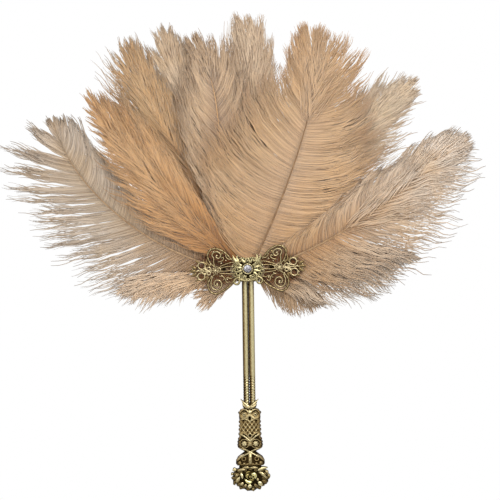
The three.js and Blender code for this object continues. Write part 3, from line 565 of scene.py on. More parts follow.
def layer_normal(x, z, level):
    """Points to the front, square to the dished surface."""
    radius, out = outward(x, z)
    slope = (level * TIP_SPREAD + 2 * DISH_DEPTH * out) / (FAN_RADIUS - FLAT_RADIUS) * (out > 0)
    across = slope / np.maximum(radius, 1)
    return unit(points_of(-across * x, -1.0, -across * (z + QUILL_CENTRE_DROP)))


def in_row(x, y, z):
    """Points of hub coordinates in the row's frame."""
    return points_of(x, y + HANDLE_DEPTH, z + HUB_HEIGHT)


def shaft_radius(share):
    return QUILL_RADIUS + (SHAFT_TIP_RADIUS - QUILL_RADIUS) * share


def lock_numbers(count, rng, least, most):
    """Which lock each barb belongs to, with its place across the lock from -1 to 1."""
    numbers, places = [], []
    while len(numbers) < count:
        size = int(rng.integers(least, most))
        numbers += [numbers[-1] + 1 if numbers else 0] * size
        places += list(np.linspace(-1, 1, size))
    return np.array(numbers[:count]), np.array(places[:count])


def bunch_edges(plume, form, rng):
    """The shares of the shaft where one bunch of barbs ends and the next begins."""
    start = plume["start"]
    if not form["bunches"]:
        middles = form["lengths"][:, 0]
        return np.concatenate([[start], (middles[1:] + middles[:-1]) / 2, [1]])
    steps = rng.uniform(0.6, 1.4, form["bunches"])
    return start + (1 - start) * sums(steps) / steps.sum()


def barb_paths(plume, form, turned, kind, edges, rng):
    """Centre lines of one side's barbs, in hub coordinates, and how each turns across its lock.
    turned is -1 on the left and 1 on the right. Barbs that cover start beyond the shaft."""
    covers = kind is COVER
    low, high = plume["cover"] if covers else (0 if kind is DOWN else plume["start"], 1)
    count = int(plume["length"] * PLUME_LENGTH * (high - low) / kind["pitch"] * form["dense"])
    place = (np.arange(count) + rng.uniform(-0.4, 0.4, count) + 0.5) / count
    share = low + (high - low) * (1 - np.clip(1 - place, 0, 1) ** TIP_CROWDING)
    share = np.clip(share, 0, 0.995)
    root_angle, end_angle, pull = form["root"], form["end"], form["pull"]
    beside = 0.5 * shaft_radius(share)
    if covers:
        beside = rng.uniform(*COVER_OFFSETS, count) * np.minimum(1, 0.25 + share)
        root_angle, end_angle = 0.3 * root_angle, 0.1 * root_angle + 0.6 * end_angle
        pull = 0.4 * pull
    number, across = lock_numbers(count, rng, 5, 14)
    locks = number.max() + 1
    lead = np.array([share[number == k].mean() for k in range(locks)])[number]
    bunch = np.clip(np.searchsorted(edges, share, "right") - 1, 0, len(edges) - 2)
    centre = (edges[bunch] + edges[bunch + 1]) / 2
    off = np.clip(np.abs(share - centre) / (edges[bunch + 1] - centre), 0, 1)
    cut = 1 - (1 - form["notch"]) * off ** 1.5
    unruly = plume["unruly"]
    turn = unruly * (rng.normal(0, 1.6, locks)[number] + rng.normal(0, 1.6, count))
    bow = unruly * (rng.normal(0, 3, locks)[number] + rng.normal(0, 2.6, count))
    size = rng.uniform(0.9, 1.03, locks)[number] * rng.uniform(*kind["long"], count)
    if kind is DOWN:
        size *= form["down"]
    if kind is BARB:
        size *= 0.5 + 0.5 * form["down"]
    gather = rng.uniform(0.3, 0.95, locks)[number] * kind["loose"] * plume["tufted"]
    lift = rng.uniform(-1, 1, locks)[number] + rng.uniform(-0.4, 0.4, count)
    phase = rng.uniform(0, 2 * math.pi, locks)[number] + rng.normal(0, 0.35, count)
    closing = 0.4 * rng.uniform(0, 1, locks)[number] + rng.uniform(0, 0.6, count)
    drawn = pull * (0.75 + 0.25 * np.cos(3.7 * bunch)) * rng.uniform(0.85, 1.1, count)
    along = np.arange(BARB_STEPS + 1) / BARB_STEPS
    fold, fold_start = form["fold"]

    def path(at):
        x, z, heading = shaft_curve(plume, at)
        x += turned * beside * np.cos(heading)
        z -= turned * beside * np.sin(heading)
        full = np.interp(at, *form["lengths"].T) * cut * size
        narrow = (1 - fold * ramp(at, fold_start, 1)) * (1 - ramp(at, 0.84, 1) * closing)
        middle = (along[1:] + along[:-1]) / 2
        angle = np.outer(root_angle + turn * 0.4, 1 - middle) + np.outer(end_angle + turn + bow, middle)
        angle += form["splay"] * (1 - ramp(at, plume["start"], 0.4))[:, None]
        bearing = heading[:, None] + turned * np.radians(angle * narrow[:, None])
        step = full[:, None] / BARB_STEPS
        return x[:, None] + sums(step * np.sin(bearing)), z[:, None] + sums(step * np.cos(bearing)), full

    x, z, full = path(share)
    for towards, strength, hold in ((lead, gather, 1.5), (centre, drawn, form["hold"])):
        lead_x, lead_z, _ = path(towards)
        draw = np.minimum(strength, 0.97)[:, None] * along ** hold
        x += (lead_x - x) * draw
        z += (lead_z - z) * draw
    heading = np.arctan2(np.gradient(x, axis=1), np.gradient(z, axis=1))
    waves = np.sin(phase[:, None] + 2 * math.pi * full[:, None] * along / WAVE_LENGTH)
    sway = form["wave"] * WAVE_HEIGHT * along ** 1.3 * waves
    sway *= np.minimum(1, full / FULL_WAVE_REACH)[:, None]
    x += sway * np.cos(heading)
    z -= sway * np.sin(heading)
    out = outward(x, z)[1]
    bulge = LOCK_BULGE * (1 - across[:, None] ** 2) * np.sin(math.pi * np.minimum(1, along * 1.1))
    rise = lift[:, None] * along * (0.3 + TIP_LIFT * out * along)
    y = layer_y(x, z, plume["level"]) - bulge - rise + kind["depth"]
    worn = plume["worn_tip"] * ramp(share, 0.72, 0.95)
    kept = np.random.default_rng(count).random(count) >= worn
    return x[kept], y[kept], z[kept], across[kept], along


def strand_mesh(x, y, z, across, along, level, widths):
    """Closed three-sided strands along the paths: points, and faces as arrays of indices."""
    points = in_row(x, y, z)
    tangent = unit(np.gradient(points, axis=1))
    normal = layer_normal(x, z, level)
    normal = unit(normal - tangent * (normal * tangent).sum(-1, keepdims=True))
    wide = np.cross(tangent, normal)
    tilt = 0.3 * across[:, None, None] * np.sin(math.pi * along)[None, :, None]
    facing = unit(normal + wide * tilt)
    wide = np.cross(tangent, facing)
    half = widths[..., None] / 2
    rings = np.stack([points + wide * half, points + facing * half * 0.55, points - wide * half], 2)
    index = np.arange(x.size * 3).reshape(*x.shape, 3)
    turned = np.roll(index, -1, 2)
    sides = np.stack([index[:, :-1], index[:, 1:], turned[:, 1:], turned[:, :-1]], -1)
    caps = np.concatenate([index[:, 0, :], index[:, -1, ::-1]])
    return rings.reshape(-1, 3), sides.reshape(-1, 4), caps


def strand_map(along, tone):
    """u runs along each strand, and v is its own tone."""
    v = tone[:, None, None] + np.array([-0.004, 0, 0.004])
    return points_of(along[None, :, None], v).reshape(-1, 2)


def make_plume(name, plume, seed):
    rng = np.random.default_rng(seed)
    points, sides, caps, maps = [], [], [], []
    total = 0
    halves = ((-1, plume["left"]), (1, plume["right"]))
    edges = {turned: bunch_edges(plume, form, rng) for turned, form in halves}
    for kind in (DOWN, BARB, WISP, COVER) if plume["cover"] else (DOWN, BARB, WISP):
        for turned, form in halves:
            x, y, z, across, along = barb_paths(plume, form, turned, kind, edges[turned], rng)
            count = len(x)
            streaks = plume["streaks"] * form["streaky"]
            taper = (1 - 0.4 * along) * (1 - 0.75 * along ** 6)
            if kind is COVER:
                taper = taper * np.minimum(1, 0.25 + along * 5)
            if kind is WISP:
                taper = (1 - 0.25 * along) * (1 - 0.6 * along ** 8) * plume["wisps"]
            widths = kind["width"] * rng.uniform(0.75, 1.15, (count, 1)) * taper
            tone = rng.uniform(*kind["tone"], count)
            tone[rng.random(count) < 0.08 * streaks] *= 0.25
            if kind is WISP:
                tone = 0.45 + (tone - 0.45) * streaks
            # shade darkens this side's barbs as painted shade.
            tone -= form["shade"]
            part, quads, ends = strand_mesh(x, y, z, across, along, plume["level"], widths)
            points.append(part)
            sides.append(quads + total)
            caps.append(ends + total)
            maps.append(strand_map(along, np.clip(tone, 0.01, 0.99)))
            total += len(part)
    root, middle, tip = FEATHER_TONES[plume["tone"]]
    tint = plume["tint"]
    material = feather_material(
        name + " barbs", tinted(root, tint, plume["root_tint"]), tinted(middle, tint),
        tinted(tip, tint, plume["tip_tint"]), tinted((255, 255, 255), plume["hub_tone_and_shade"]),
        plume["hub_reach"],
    )
    mesh_piece(
        name + "_barbs", np.concatenate(points), [np.concatenate(sides), np.concatenate(caps)], material,
        [name + "_vane"], uv=np.concatenate(maps),
    )


def make_shaft(name, plume):
    """A smooth round shaft that thins towards the plume's tip, in the place of the faceted one."""
    share = np.linspace(0, SHOWN_SHAFT_SHARE, SHAFT_RINGS)
    x, z, _ = shaft_curve(plume, share)
    line = in_row(x, layer_y(x, z, plume["level"]), z)
    tangent = unit(np.gradient(line, axis=0))
    wide = unit(np.cross(tangent, layer_normal(x, z, plume["level"])))
    radius = shaft_radius(share) * (1 - 0.75 * ramp(share, 0.8, SHOWN_SHAFT_SHARE))
    rings = round_rings(line, wide, np.cross(wide, tangent), radius, SHAFT_SIDES, 0.8)
    points = np.concatenate([rings.reshape(-1, 3), line[[0, -1]]])
    mesh_piece(
        name + "_rachis", points, tube_faces(SHAFT_RINGS, SHAFT_SIDES), QUILLS.get(name, QUILL),
        [name + "_shaft"],
    )


for number, (plume_name, plume_shares) in enumerate(PLUME_SHARES.items()):
    make_plume(plume_name, PLUME_DEFAULTS | plume_shares, 100 + number)
    make_shaft(plume_name, plume_shares)


# Forms for the metal parts. They are made in a front view: u to the right, v up and w to the front.

FRONT = np.array([0, 0, 1.0])
WIRE_FLATNESS = 0.85
BALL_RINGS = 7
BALL_SIDES = 12
# A leaf's section: shares of its half width and height, and how worn it is there.
LEAF_SECTION_SHARES = (
    (-1, 0.1, 0.15), (-0.66, 0.85, 0.95), (-0.2, 0.6, 0.72), (0, 1, 1), (0.2, 0.6, 0.72),
    (0.66, 0.85, 0.95), (1, 0.1, 0.15), (0.9, -0.35, 0), (-0.9, -0.35, 0),
)


class Form:
    """Closed bodies that make up one piece, with the relief of each point from 0, deep, to 1, worn. On the
    wires, rods and stone the relief also holds painted light and shade.
    """

    def __init__(self):
        self.points, self.relief, self.quads, self.triangles = [], [], [], []
        self.total = 0

    def add(self, points, relief, quads, triangles):
        """Adds a body, turned inside out where its faces look inwards."""
        halves = np.concatenate([quads[:, [0, 1, 2]], quads[:, [0, 2, 3]], triangles])
        first, second, third = (points[halves[:, k]] for k in range(3))
        if (first * np.cross(second, third)).sum() < 0:
            quads, triangles = quads[:, ::-1], triangles[:, ::-1]
        self.points.append(points)
        self.relief.append(relief)
        self.quads.append(quads + self.total)
        self.triangles.append(triangles + self.total)
        self.total += len(points)

    def tube(self, rings, relief, ends=None, end_relief=None):
        """Adds a tube of rings of points. Its two ends close it, or without them its last ring meets
        its first. The ends are as worn as the rings beside them if nothing else is said."""
        rows, columns = rings.shape[:2]
        points = rings.reshape(-1, 3)
        relief = np.broadcast_to(relief, (rows, columns)).ravel()
        if ends is not None:
            points = np.concatenate([points, ends])
            worn = relief[[0, -1]] if end_relief is None else np.broadcast_to(end_relief, 2)
            relief = np.append(relief, worn)
        self.add(points, relief, *tube_faces(rows, columns, ends is None))

    def take(self, other, mirror):
        """Adds another form's bodies, mirrored along each axis where mirror has -1."""
        points = np.concatenate(other.points) * mirror
        self.add(points, *(np.concatenate(part) for part in (other.relief, other.quads, other.triangles)))

    def piece(self, name, place, material, slot, replaced, smooth=True):
        faces = [np.concatenate(self.quads), np.concatenate(self.triangles)]
        points = place(*np.concatenate(self.points).T)
        piece = mesh_piece(name, points, faces, material, replaced, smooth)
        relief = piece.data.attributes.new("relief", "FLOAT", "POINT")
        relief.data.foreach_set("value", np.concatenate(self.relief).astype(np.float32))


def on_handle(u, v, w):
    return points_of(u, -w, v)


def on_brooch(u, v, w):
    x = u * math.cos(BROOCH_TILT) - v * math.sin(BROOCH_TILT)
    z = u * math.sin(BROOCH_TILT) + v * math.cos(BROOCH_TILT)
    return in_row(x, -w, z)


def spline(points, steps=8, closed=False):
    """A smooth line through the points."""
    points = np.asarray(points, float)
    if closed:
        around = np.concatenate([points[-1:], points, points[:2]])
    else:
        around = np.concatenate([2 * points[:1] - points[1:2], points, 2 * points[-1:] - points[-2:-1]])
    share = (np.arange(steps) / steps)[:, None]
    lines = []
    for a, b, c, d in zip(around, around[1:], around[2:], around[3:]):
        bend = 2 * a - 5 * b + 4 * c - d
        twist = 3 * b - a - 3 * c + d
        lines.append(0.5 * (2 * b + (c - a) * share + bend * share ** 2 + twist * share ** 3))
    line = np.concatenate(lines)
    return line if closed else np.concatenate([line, points[-1:]])


def circle(middle, radius, steps=20):
    u, v, w = middle
    return points_of(u + radius * np.cos(turns(steps)), v + radius * np.sin(turns(steps)), w)


def placed(shares, width, height, level):
    """Points at a level, from shares of a width and a height."""
    return [(a * width, b * height, level) for a, b in shares]


def spots(shares, width, height, level):
    """Middles and radii of round spots at a level, from shares of a width and a height."""
    return [((a * width, b * height, level), radius * width) for a, b, radius in shares]


def wire(form, line, radius, closed=False, sides=12, taper=0, shine=1, beads=0):
    """A wire along a line. Its front is worn bright and carries a painted highlight, and its flanks are
    darkened as painted shade. beads is the length of one bead along it, or 0 where it is plain."""
    line = np.asarray(line, float)
    tangent = unit(np.roll(line, -1, 0) - np.roll(line, 1, 0) if closed else np.gradient(line, axis=0))
    normal = unit(FRONT - tangent * (tangent @ FRONT)[:, None])
    swell = radius * (1 - taper * np.abs(np.linspace(-1, 1, len(line))) ** 3)
    crest = np.ones(len(line))
    if beads:
        run = sums(np.linalg.norm(np.diff(line, axis=0), axis=1))
        crest = np.abs(np.sin(math.pi * run / beads)) ** 0.6
        swell = swell * (0.88 + 0.12 * crest)
    rings = round_rings(line, np.cross(tangent, normal), normal, swell, sides, WIRE_FLATNESS)
    # A painted highlight along the front and painted shade on the flanks, over the wear on the front.
    wear_and_sheen = 0.02 + 0.98 * np.clip(np.sin(turns(sides)), 0, 1) ** 3
    relief = shine * (0.6 + 0.4 * crest[:, None]) * wear_and_sheen
    form.tube(rings, relief, None if closed else line[[0, -1]], 0.3 * shine)


def ball(form, middle, radius, flat=1, shine=1):
    u, v, w = middle
    rise = np.linspace(-1, 1, BALL_RINGS + 2)[1:-1, None] * math.pi / 2
    reach, turn = radius * np.cos(rise), turns(BALL_SIDES)
    deep = radius * flat
    rings = points_of(u + reach * np.cos(turn), v + reach * np.sin(turn), w + deep * np.sin(rise))
    relief = shine * (0.1 + 0.9 * ramp(np.sin(rise), -0.2, 0.8))
    form.tube(rings, relief, [(u, v, w - deep), (u, v, w + deep)], (0, shine))


def leaf(form, line, half_width, height, point=0.6, shine=1):
    """A leaf along a line, with a midrib and two swelling halves."""
    line = np.asarray(line, float)
    wide = unit(np.cross(np.gradient(line, axis=0), FRONT))
    share = np.linspace(0, 1, len(line))[:, None]
    body = np.sin(math.pi * (0.08 + 0.9 * share ** point)) + 0.02
    across, rise, worn = np.array(LEAF_SECTION_SHARES).T
    rings = (
        line[:, None]
        + wide[:, None] * (half_width * body * across)[..., None]
        + FRONT * (height * (0.35 + 0.65 * body) * rise)[..., None]
    )
    form.tube(rings, worn * shine, line[[0, -1]], 0.4)


# The brooch. The tables are shares of the wing's reach, for the right wing.

BROOCH_TILT = math.radians(2.1)
WING_REACH = 47.2
FILIGREE_REAR = 16.9
FILIGREE_LEVEL = FILIGREE_REAR + 0.65
SCROLL_LEVEL = FILIGREE_LEVEL + 0.1
DARK_BEAD_LEVEL = FILIGREE_LEVEL + 0.2
GRANULE_LEVEL = FILIGREE_LEVEL + 0.3
LOBE_WIRE = 0.95
SCROLL_WIRE = 0.78
FINE_WIRE = 0.66
WIRE_BEAD = 3.4
BRIDGE_HALF_SHARE = 0.2
# Half widths and heights of leaves.
SPRIG_SIZE = (0.85, 0.8)
END_LEAF_SIZE = (1.25, 1)
LOBE_SHARES = (
    ((0.25, 0.15), (0.289, 0.198), (0.369, 0.29), (0.467, 0.352), (0.56, 0.366), (0.633, 0.33),
     (0.667, 0.26), (0.655, 0.19), (0.615, 0.113), (0.56, 0.067)),
    ((0.24, -0.18), (0.3125, -0.268), (0.435, -0.348), (0.557, -0.398), (0.65, -0.348), (0.684, -0.24),
     (0.65, -0.15), (0.6, -0.098), (0.545, -0.06)),
)
SCROLL_SHARES = (
    ((0.545, 0.05), (0.57, 0.13), (0.565, 0.2), (0.59, 0.25), (0.57, 0.3), (0.51, 0.315), (0.455, 0.28),
     (0.45, 0.225), (0.49, 0.2), (0.525, 0.225), (0.51, 0.255)),
    ((0.6, -0.11), (0.63, -0.2), (0.62, -0.28), (0.57, -0.325), (0.5, -0.32), (0.455, -0.26),
     (0.47, -0.19), (0.53, -0.165), (0.575, -0.2), (0.57, -0.255), (0.525, -0.265), (0.51, -0.23)),
)
RAIL_SHARES = (
    ((0.2, 0.12), (0.3, 0.115), (0.4, 0.085), (0.47, 0.06)),
    ((0.2, 0.052), (0.3, 0.055), (0.38, 0.05), (0.47, 0.03)),
    ((0.2, -0.012), (0.3, -0.015), (0.38, -0.02), (0.47, -0.02)),
    ((0.2, -0.075), (0.3, -0.07), (0.4, -0.062), (0.48, -0.05)),
)
CURL_SHARES = (
    ((0.24, 0.19), (0.3, 0.175), (0.345, 0.2), (0.36, 0.245), (0.33, 0.26), (0.31, 0.235)),
    ((0.24, -0.13), (0.3, -0.15), (0.35, -0.13), (0.38, -0.17), (0.36, -0.215), (0.32, -0.2)),
    ((0.5, 0.14), (0.44, 0.15), (0.4, 0.18), (0.41, 0.215), (0.44, 0.2)),
    ((0.49, -0.1), (0.43, -0.11), (0.4, -0.14), (0.42, -0.17)),
)
STEM_SHARES = (
    ((0.6, 0), (0.68, -0.01), (0.78, 0.002), (0.88, 0)),
    ((0.68, -0.005), (0.72, 0.03), (0.75, 0.035)),
    ((0.68, -0.01), (0.72, -0.04), (0.75, -0.04)),
)
SPRIG_SHARES = (
    ((0.665, 0.1), (0.69, 0.15), (0.675, 0.215)),
    ((0.675, 0.09), (0.73, 0.135), (0.745, 0.205)),
    ((0.665, -0.1), (0.69, -0.15), (0.68, -0.2)),
    ((0.675, -0.09), (0.73, -0.13), (0.75, -0.195)),
    ((0.62, 0.075), (0.655, 0.1), (0.67, 0.135)),
    ((0.81, 0.145), (0.85, 0.16), (0.87, 0.195)),
    ((0.83, -0.145), (0.865, -0.15), (0.885, -0.185)),
    ((0.4, 0.3), (0.44, 0.255), (0.44, 0.2)),
)
END_LEAF_SHARES = (
    ((0.87, 0), (0.93, 0.006), (1, 0)),
    ((0.875, 0.012), (0.9, 0.062), (0.975, 0.088)),
    ((0.875, -0.012), (0.9, -0.058), (0.97, -0.084)),
)
# Round spots: a place and a radius.
EYE_SHARES = (
    (0.775, 0.088, 0.06), (0.79, -0.09, 0.06), (0.66, 0.03, 0.03), (0.66, -0.045, 0.028),
    (0.49, 0.01, 0.03),
)
GRANULE_SHARES = (
    (0.71, 0.05, 0.017), (0.715, -0.055, 0.017), (0.62, 0.11, 0.017), (0.615, -0.1, 0.017),
    (0.855, 0.09, 0.016), (0.865, -0.085, 0.016), (0.51, 0.25, 0.018), (0.53, -0.235, 0.02),
    (0.44, 0.115, 0.014), (0.44, -0.09, 0.014), (0.61, 0.365, 0.014), (0.56, 0.315, 0.013),
    (0.55, -0.33, 0.013), (0.84, 0.01, 0.02), (0.45, 0.34, 0.012), (0.36, 0.16, 0.014),
    (0.35, -0.16, 0.014), (0.93, 0.04, 0.013), (0.93, -0.035, 0.013),
)
DARK_BEAD_SHARES = ((0.4, 0.015, 0.032),)


def make_filigree():
    wing = Form()
    reach = WING_REACH

    def line(shares, steps=8, level=FILIGREE_LEVEL):
        return spline(placed(shares, reach, reach, level), steps)

    for shares in LOBE_SHARES:
        wire(wing, line(shares, 12), LOBE_WIRE, taper=0.3, beads=WIRE_BEAD, shine=0.85)
    for shares in SCROLL_SHARES:
        wire(wing, line(shares, level=SCROLL_LEVEL), SCROLL_WIRE, taper=0.3, shine=0.9)
    for shares in RAIL_SHARES:
        wire(wing, line(shares), FINE_WIRE, shine=0.8)
    for shares in CURL_SHARES:
        wire(wing, line(shares), FINE_WIRE, taper=0.3, shine=0.85)
    for shares in STEM_SHARES:
        wire(wing, line(shares), SCROLL_WIRE)
    for shares in SPRIG_SHARES:
        leaf(wing, line(shares, 5, SCROLL_LEVEL), *SPRIG_SIZE, shine=0.65)
    for shares in END_LEAF_SHARES:
        leaf(wing, line(shares, 6, SCROLL_LEVEL), *END_LEAF_SIZE, 0.9, 0.62)
    for middle, radius in spots(EYE_SHARES, reach, reach, FILIGREE_LEVEL):
        wire(wing, circle(middle, radius, 28), SCROLL_WIRE, closed=True)
    for middle, radius in spots(GRANULE_SHARES, reach, reach, GRANULE_LEVEL):
        ball(wing, middle, radius)
    for middle, radius in spots(DARK_BEAD_SHARES, reach, reach, DARK_BEAD_LEVEL):
        ball(wing, middle, radius, shine=0.1)
    form = Form()
    form.take(wing, (-1, 1, 1))
    form.take(wing, (1, 1, 1))
    bridge = ((-BRIDGE_HALF_SHARE, 0), (BRIDGE_HALF_SHARE, 0))
    wire(form, placed(bridge, reach, reach, FILIGREE_LEVEL), LOBE_WIRE)
    form.piece("filigree_wires", on_brooch, BRASS["dull"], "antique_brass", ["front_filigree"])


BLOSSOM_PLACE_SHARE = 0.545
BLOSSOM_RADIUS = 3.4
BLOSSOM_LEVEL = FILIGREE_REAR + 1.5
BLOSSOM_BEAD_LEVEL = BLOSSOM_LEVEL + 0.15
BLOSSOM_PETALS = 8
PETAL_WIRE = 0.3
PISTIL_WIRE = 0.25


def make_blossom(name, hand, node):
    """Eight looped petals round a bead. hand is -1 on the left and 1 on the right."""
    form = Form()
    middle = hand * BLOSSOM_PLACE_SHARE * WING_REACH
    around = turns(12)
    far = BLOSSOM_RADIUS * (0.66 + 0.34 * np.cos(around))
    off = BLOSSOM_RADIUS * 0.2 * np.sin(around)
    for turn in turns(BLOSSOM_PETALS, 0.5):
        u = middle + far * math.cos(turn) - off * math.sin(turn)
        v = far * math.sin(turn) + off * math.cos(turn)
        wire(form, points_of(u, v, BLOSSOM_LEVEL), PETAL_WIRE, closed=True, sides=8)
    ball(form, (middle, 0, BLOSSOM_BEAD_LEVEL), 0.3 * BLOSSOM_RADIUS, 0.7)
    pistil = circle((middle, 0, BLOSSOM_LEVEL), 0.38 * BLOSSOM_RADIUS)
    wire(form, pistil, PISTIL_WIRE, closed=True, sides=8)
    form.piece(name, on_brooch, BRASS["dull"], "bright_brass", [node])


PLATE_HALF_WIDTH = 11
PLATE_HALF_HEIGHT = 9
PLATE_REAR = 18.5
PLATE_SKIN = 0.35
PLATE_RIM_LEVEL = PLATE_REAR + 0.5
PLATE_LEVEL = PLATE_REAR + 1.1
FOOT_RAIL_LEVEL = PLATE_LEVEL + 0.2
CROWN_LEVEL = PLATE_LEVEL - 0.2
PLATE_GRANULE_LEVEL = PLATE_LEVEL + 0.3
RIM_WIRE = 0.6
FOOT_RAIL_WIRE = 0.75
TEARDROP_WIRE = 0.9
PLATE_EYE_WIRE = 0.5
V_LEAF_SIZE = (1.3, 1)
CROWN_LEAF_SIZE = (1.15, 0.95)
# Shares of the plate's half width and half height, for its right half.
TEARDROP_SHARES = ((0.66, -0.72), (0.9, -0.82), (1.04, -1.06), (0.92, -1.3), (0.72, -1.28), (0.62, -1.0))
FOOT_RAIL_SHARES = ((-0.66, -0.84), (-0.4, -0.98), (0, -1.04), (0.4, -0.98), (0.66, -0.84))
V_LEAF_SHARES = (
    ((0.6, 0.6), (0.74, 0.88), (0.7, 1.3)),
    ((0.66, 0.55), (0.9, 0.84), (1.04, 1.3)),
)
CROWN_LEAF_SHARES = (
    ((0.06, 0.5), (0.12, 0.72), (0.05, 1.04)),
    ((0.18, 0.48), (0.3, 0.72), (0.42, 0.98)),
    ((0.36, 0.26), (0.62, 0.42), (0.84, 0.66)),
    ((0.39, 0.07), (0.7, 0.16), (1.0, 0.2)),
    ((0.39, -0.1), (0.7, -0.2), (0.98, -0.24)),
    ((0.36, -0.28), (0.6, -0.5), (0.82, -0.66)),
    ((0.12, -0.55), (0.2, -0.76), (0.12, -1.0)),
)
PLATE_EYE_SHARES = (
    (0.34, -0.72, 0.15), (0.86, 0.42, 0.12), (0.9, -0.48, 0.12), (0.52, 0.8, 0.12), (0.98, -0.02, 0.1),
    (0.58, -0.92, 0.12),
)
PLATE_GRANULE_SHARES = (
    (0, 0.72, 0.13), (0.26, 0.96, 0.08), (0.6, 0.52, 0.09), (1.08, 0.28, 0.08), (0.84, 0.66, 0.08),
    (0.4, 0.98, 0.07), (1.1, -0.14, 0.08), (0.62, -0.6, 0.09), (0.34, -0.72, 0.09), (0.72, 0.02, 0.08),
    (0.1, -0.94, 0.08), (0.84, -1.06, 0.05),
)


def make_ornament():
    """The raised middle: a pierced plate under leaves, eyes and beads, with leaves at its upper
    corners and loops at the lower ones."""
    form, half = Form(), Form()
    width, height = PLATE_HALF_WIDTH, PLATE_HALF_HEIGHT
    turn = turns(96)
    scallop = 0.94 + 0.07 * np.cos(10 * turn)
    rim = points_of(width * scallop * np.cos(turn), height * scallop * np.sin(turn), PLATE_RIM_LEVEL)
    wire(form, rim, RIM_WIRE, closed=True)
    share = np.linspace(0.3, 0.9, 6)[:, None]
    front = points_of(width * share * np.cos(turn), height * share * np.sin(turn), PLATE_REAR + PLATE_SKIN)
    form.tube(np.concatenate([front, front[::-1] - FRONT * PLATE_SKIN]), 0.1)
    rail = placed(FOOT_RAIL_SHARES, width, height, FOOT_RAIL_LEVEL)
    wire(form, spline(rail), FOOT_RAIL_WIRE, taper=0.2)
    teardrop = placed(TEARDROP_SHARES, width, height, PLATE_LEVEL)
    wire(half, spline(teardrop, 6, closed=True), TEARDROP_WIRE, closed=True)
    for shares in V_LEAF_SHARES:
        leaf(half, spline(placed(shares, width, height, PLATE_LEVEL), 6), *V_LEAF_SIZE)
    for shares in CROWN_LEAF_SHARES:
        leaf(half, spline(placed(shares, width, height, CROWN_LEVEL), 6), *CROWN_LEAF_SIZE)
    for middle, radius in spots(PLATE_EYE_SHARES, width, height, PLATE_LEVEL):
        wire(half, circle(middle, radius, 16), PLATE_EYE_WIRE, closed=True, sides=8)
    for middle, radius in spots(PLATE_GRANULE_SHARES, width, height, PLATE_GRANULE_LEVEL):
        ball(half, middle, radius)
    form.take(half, (-1, 1, 1))
    form.take(half, (1, 1, 1))
    form.piece("ornament_relief", on_brooch, BRASS["bright"], "bright_brass", ["centre_ornament"])


CUP_RADIUS = 4.3
CUP_REAR = 20.8
CUP_HEIGHT = 1.9
CUP_FOOT = 0.2
CUP_STEP = 0.7
CUP_LIP = 0.4
CUP_SEAT = 0.6
# The cup's profile from its foot over its lip to its floor: shares of its radius, and how worn it is.
CUP_RADIUS_SHARES = (0.72, 0.9, 1, 1, 0.93, 0.84, 0.8, 0.6)
CUP_WORN_SHARES = (0, 0.25, 0.75, 0.95, 0.95, 0.8, 0.3, 0.1)
CLAWS = 12
CLAW_WIRE = 0.36
# A claw's root, bend and tip: shares of the cup's radius, and how far each lies in front of its edge.
CLAW_SHARES = (0.97, 0.9215, 0.78)
CLAW_RISES = (-0.8, -0.1, 0.15)
CRYSTAL_RADIUS = 3.3
CRYSTAL_HEIGHT = 2.3
CRYSTAL_DROP = 0.35
GEM_SIDES = 8
# The corners' rings on the stone's crown: shares of its radius and of its rise.
GEM_RING_SHARES = ((1, 0), (0.82, 0.5), (0.45, 0.85))


def make_cup():
    cup = Form()
    rear, front = CUP_REAR, CUP_REAR + CUP_HEIGHT
    reach = CUP_RADIUS * np.array(CUP_RADIUS_SHARES)[:, None]
    levels = np.array([
        rear, rear + CUP_FOOT, rear + CUP_STEP, front - CUP_STEP, front - CUP_LIP, front - CUP_LIP,
        front - CUP_SEAT, rear + CUP_STEP,
    ])[:, None]
    rings = points_of(reach * np.cos(turns(48)), reach * np.sin(turns(48)), levels)
    relief = np.array(CUP_WORN_SHARES)[:, None]
    cup.tube(rings, relief, [(0, 0, rear), (0, 0, rear + CUP_STEP)])
    reach = CUP_RADIUS * np.array(CLAW_SHARES)
    for turn in turns(CLAWS, 0.5):
        line = points_of(reach * math.cos(turn), reach * math.sin(turn), front + np.array(CLAW_RISES))
        wire(cup, spline(line, 3), CLAW_WIRE, sides=8, shine=0.9)
    cup.piece("gem_claws", on_brooch, BRASS["wear_and_sheen"], "bright_brass", ["gem_cup"])


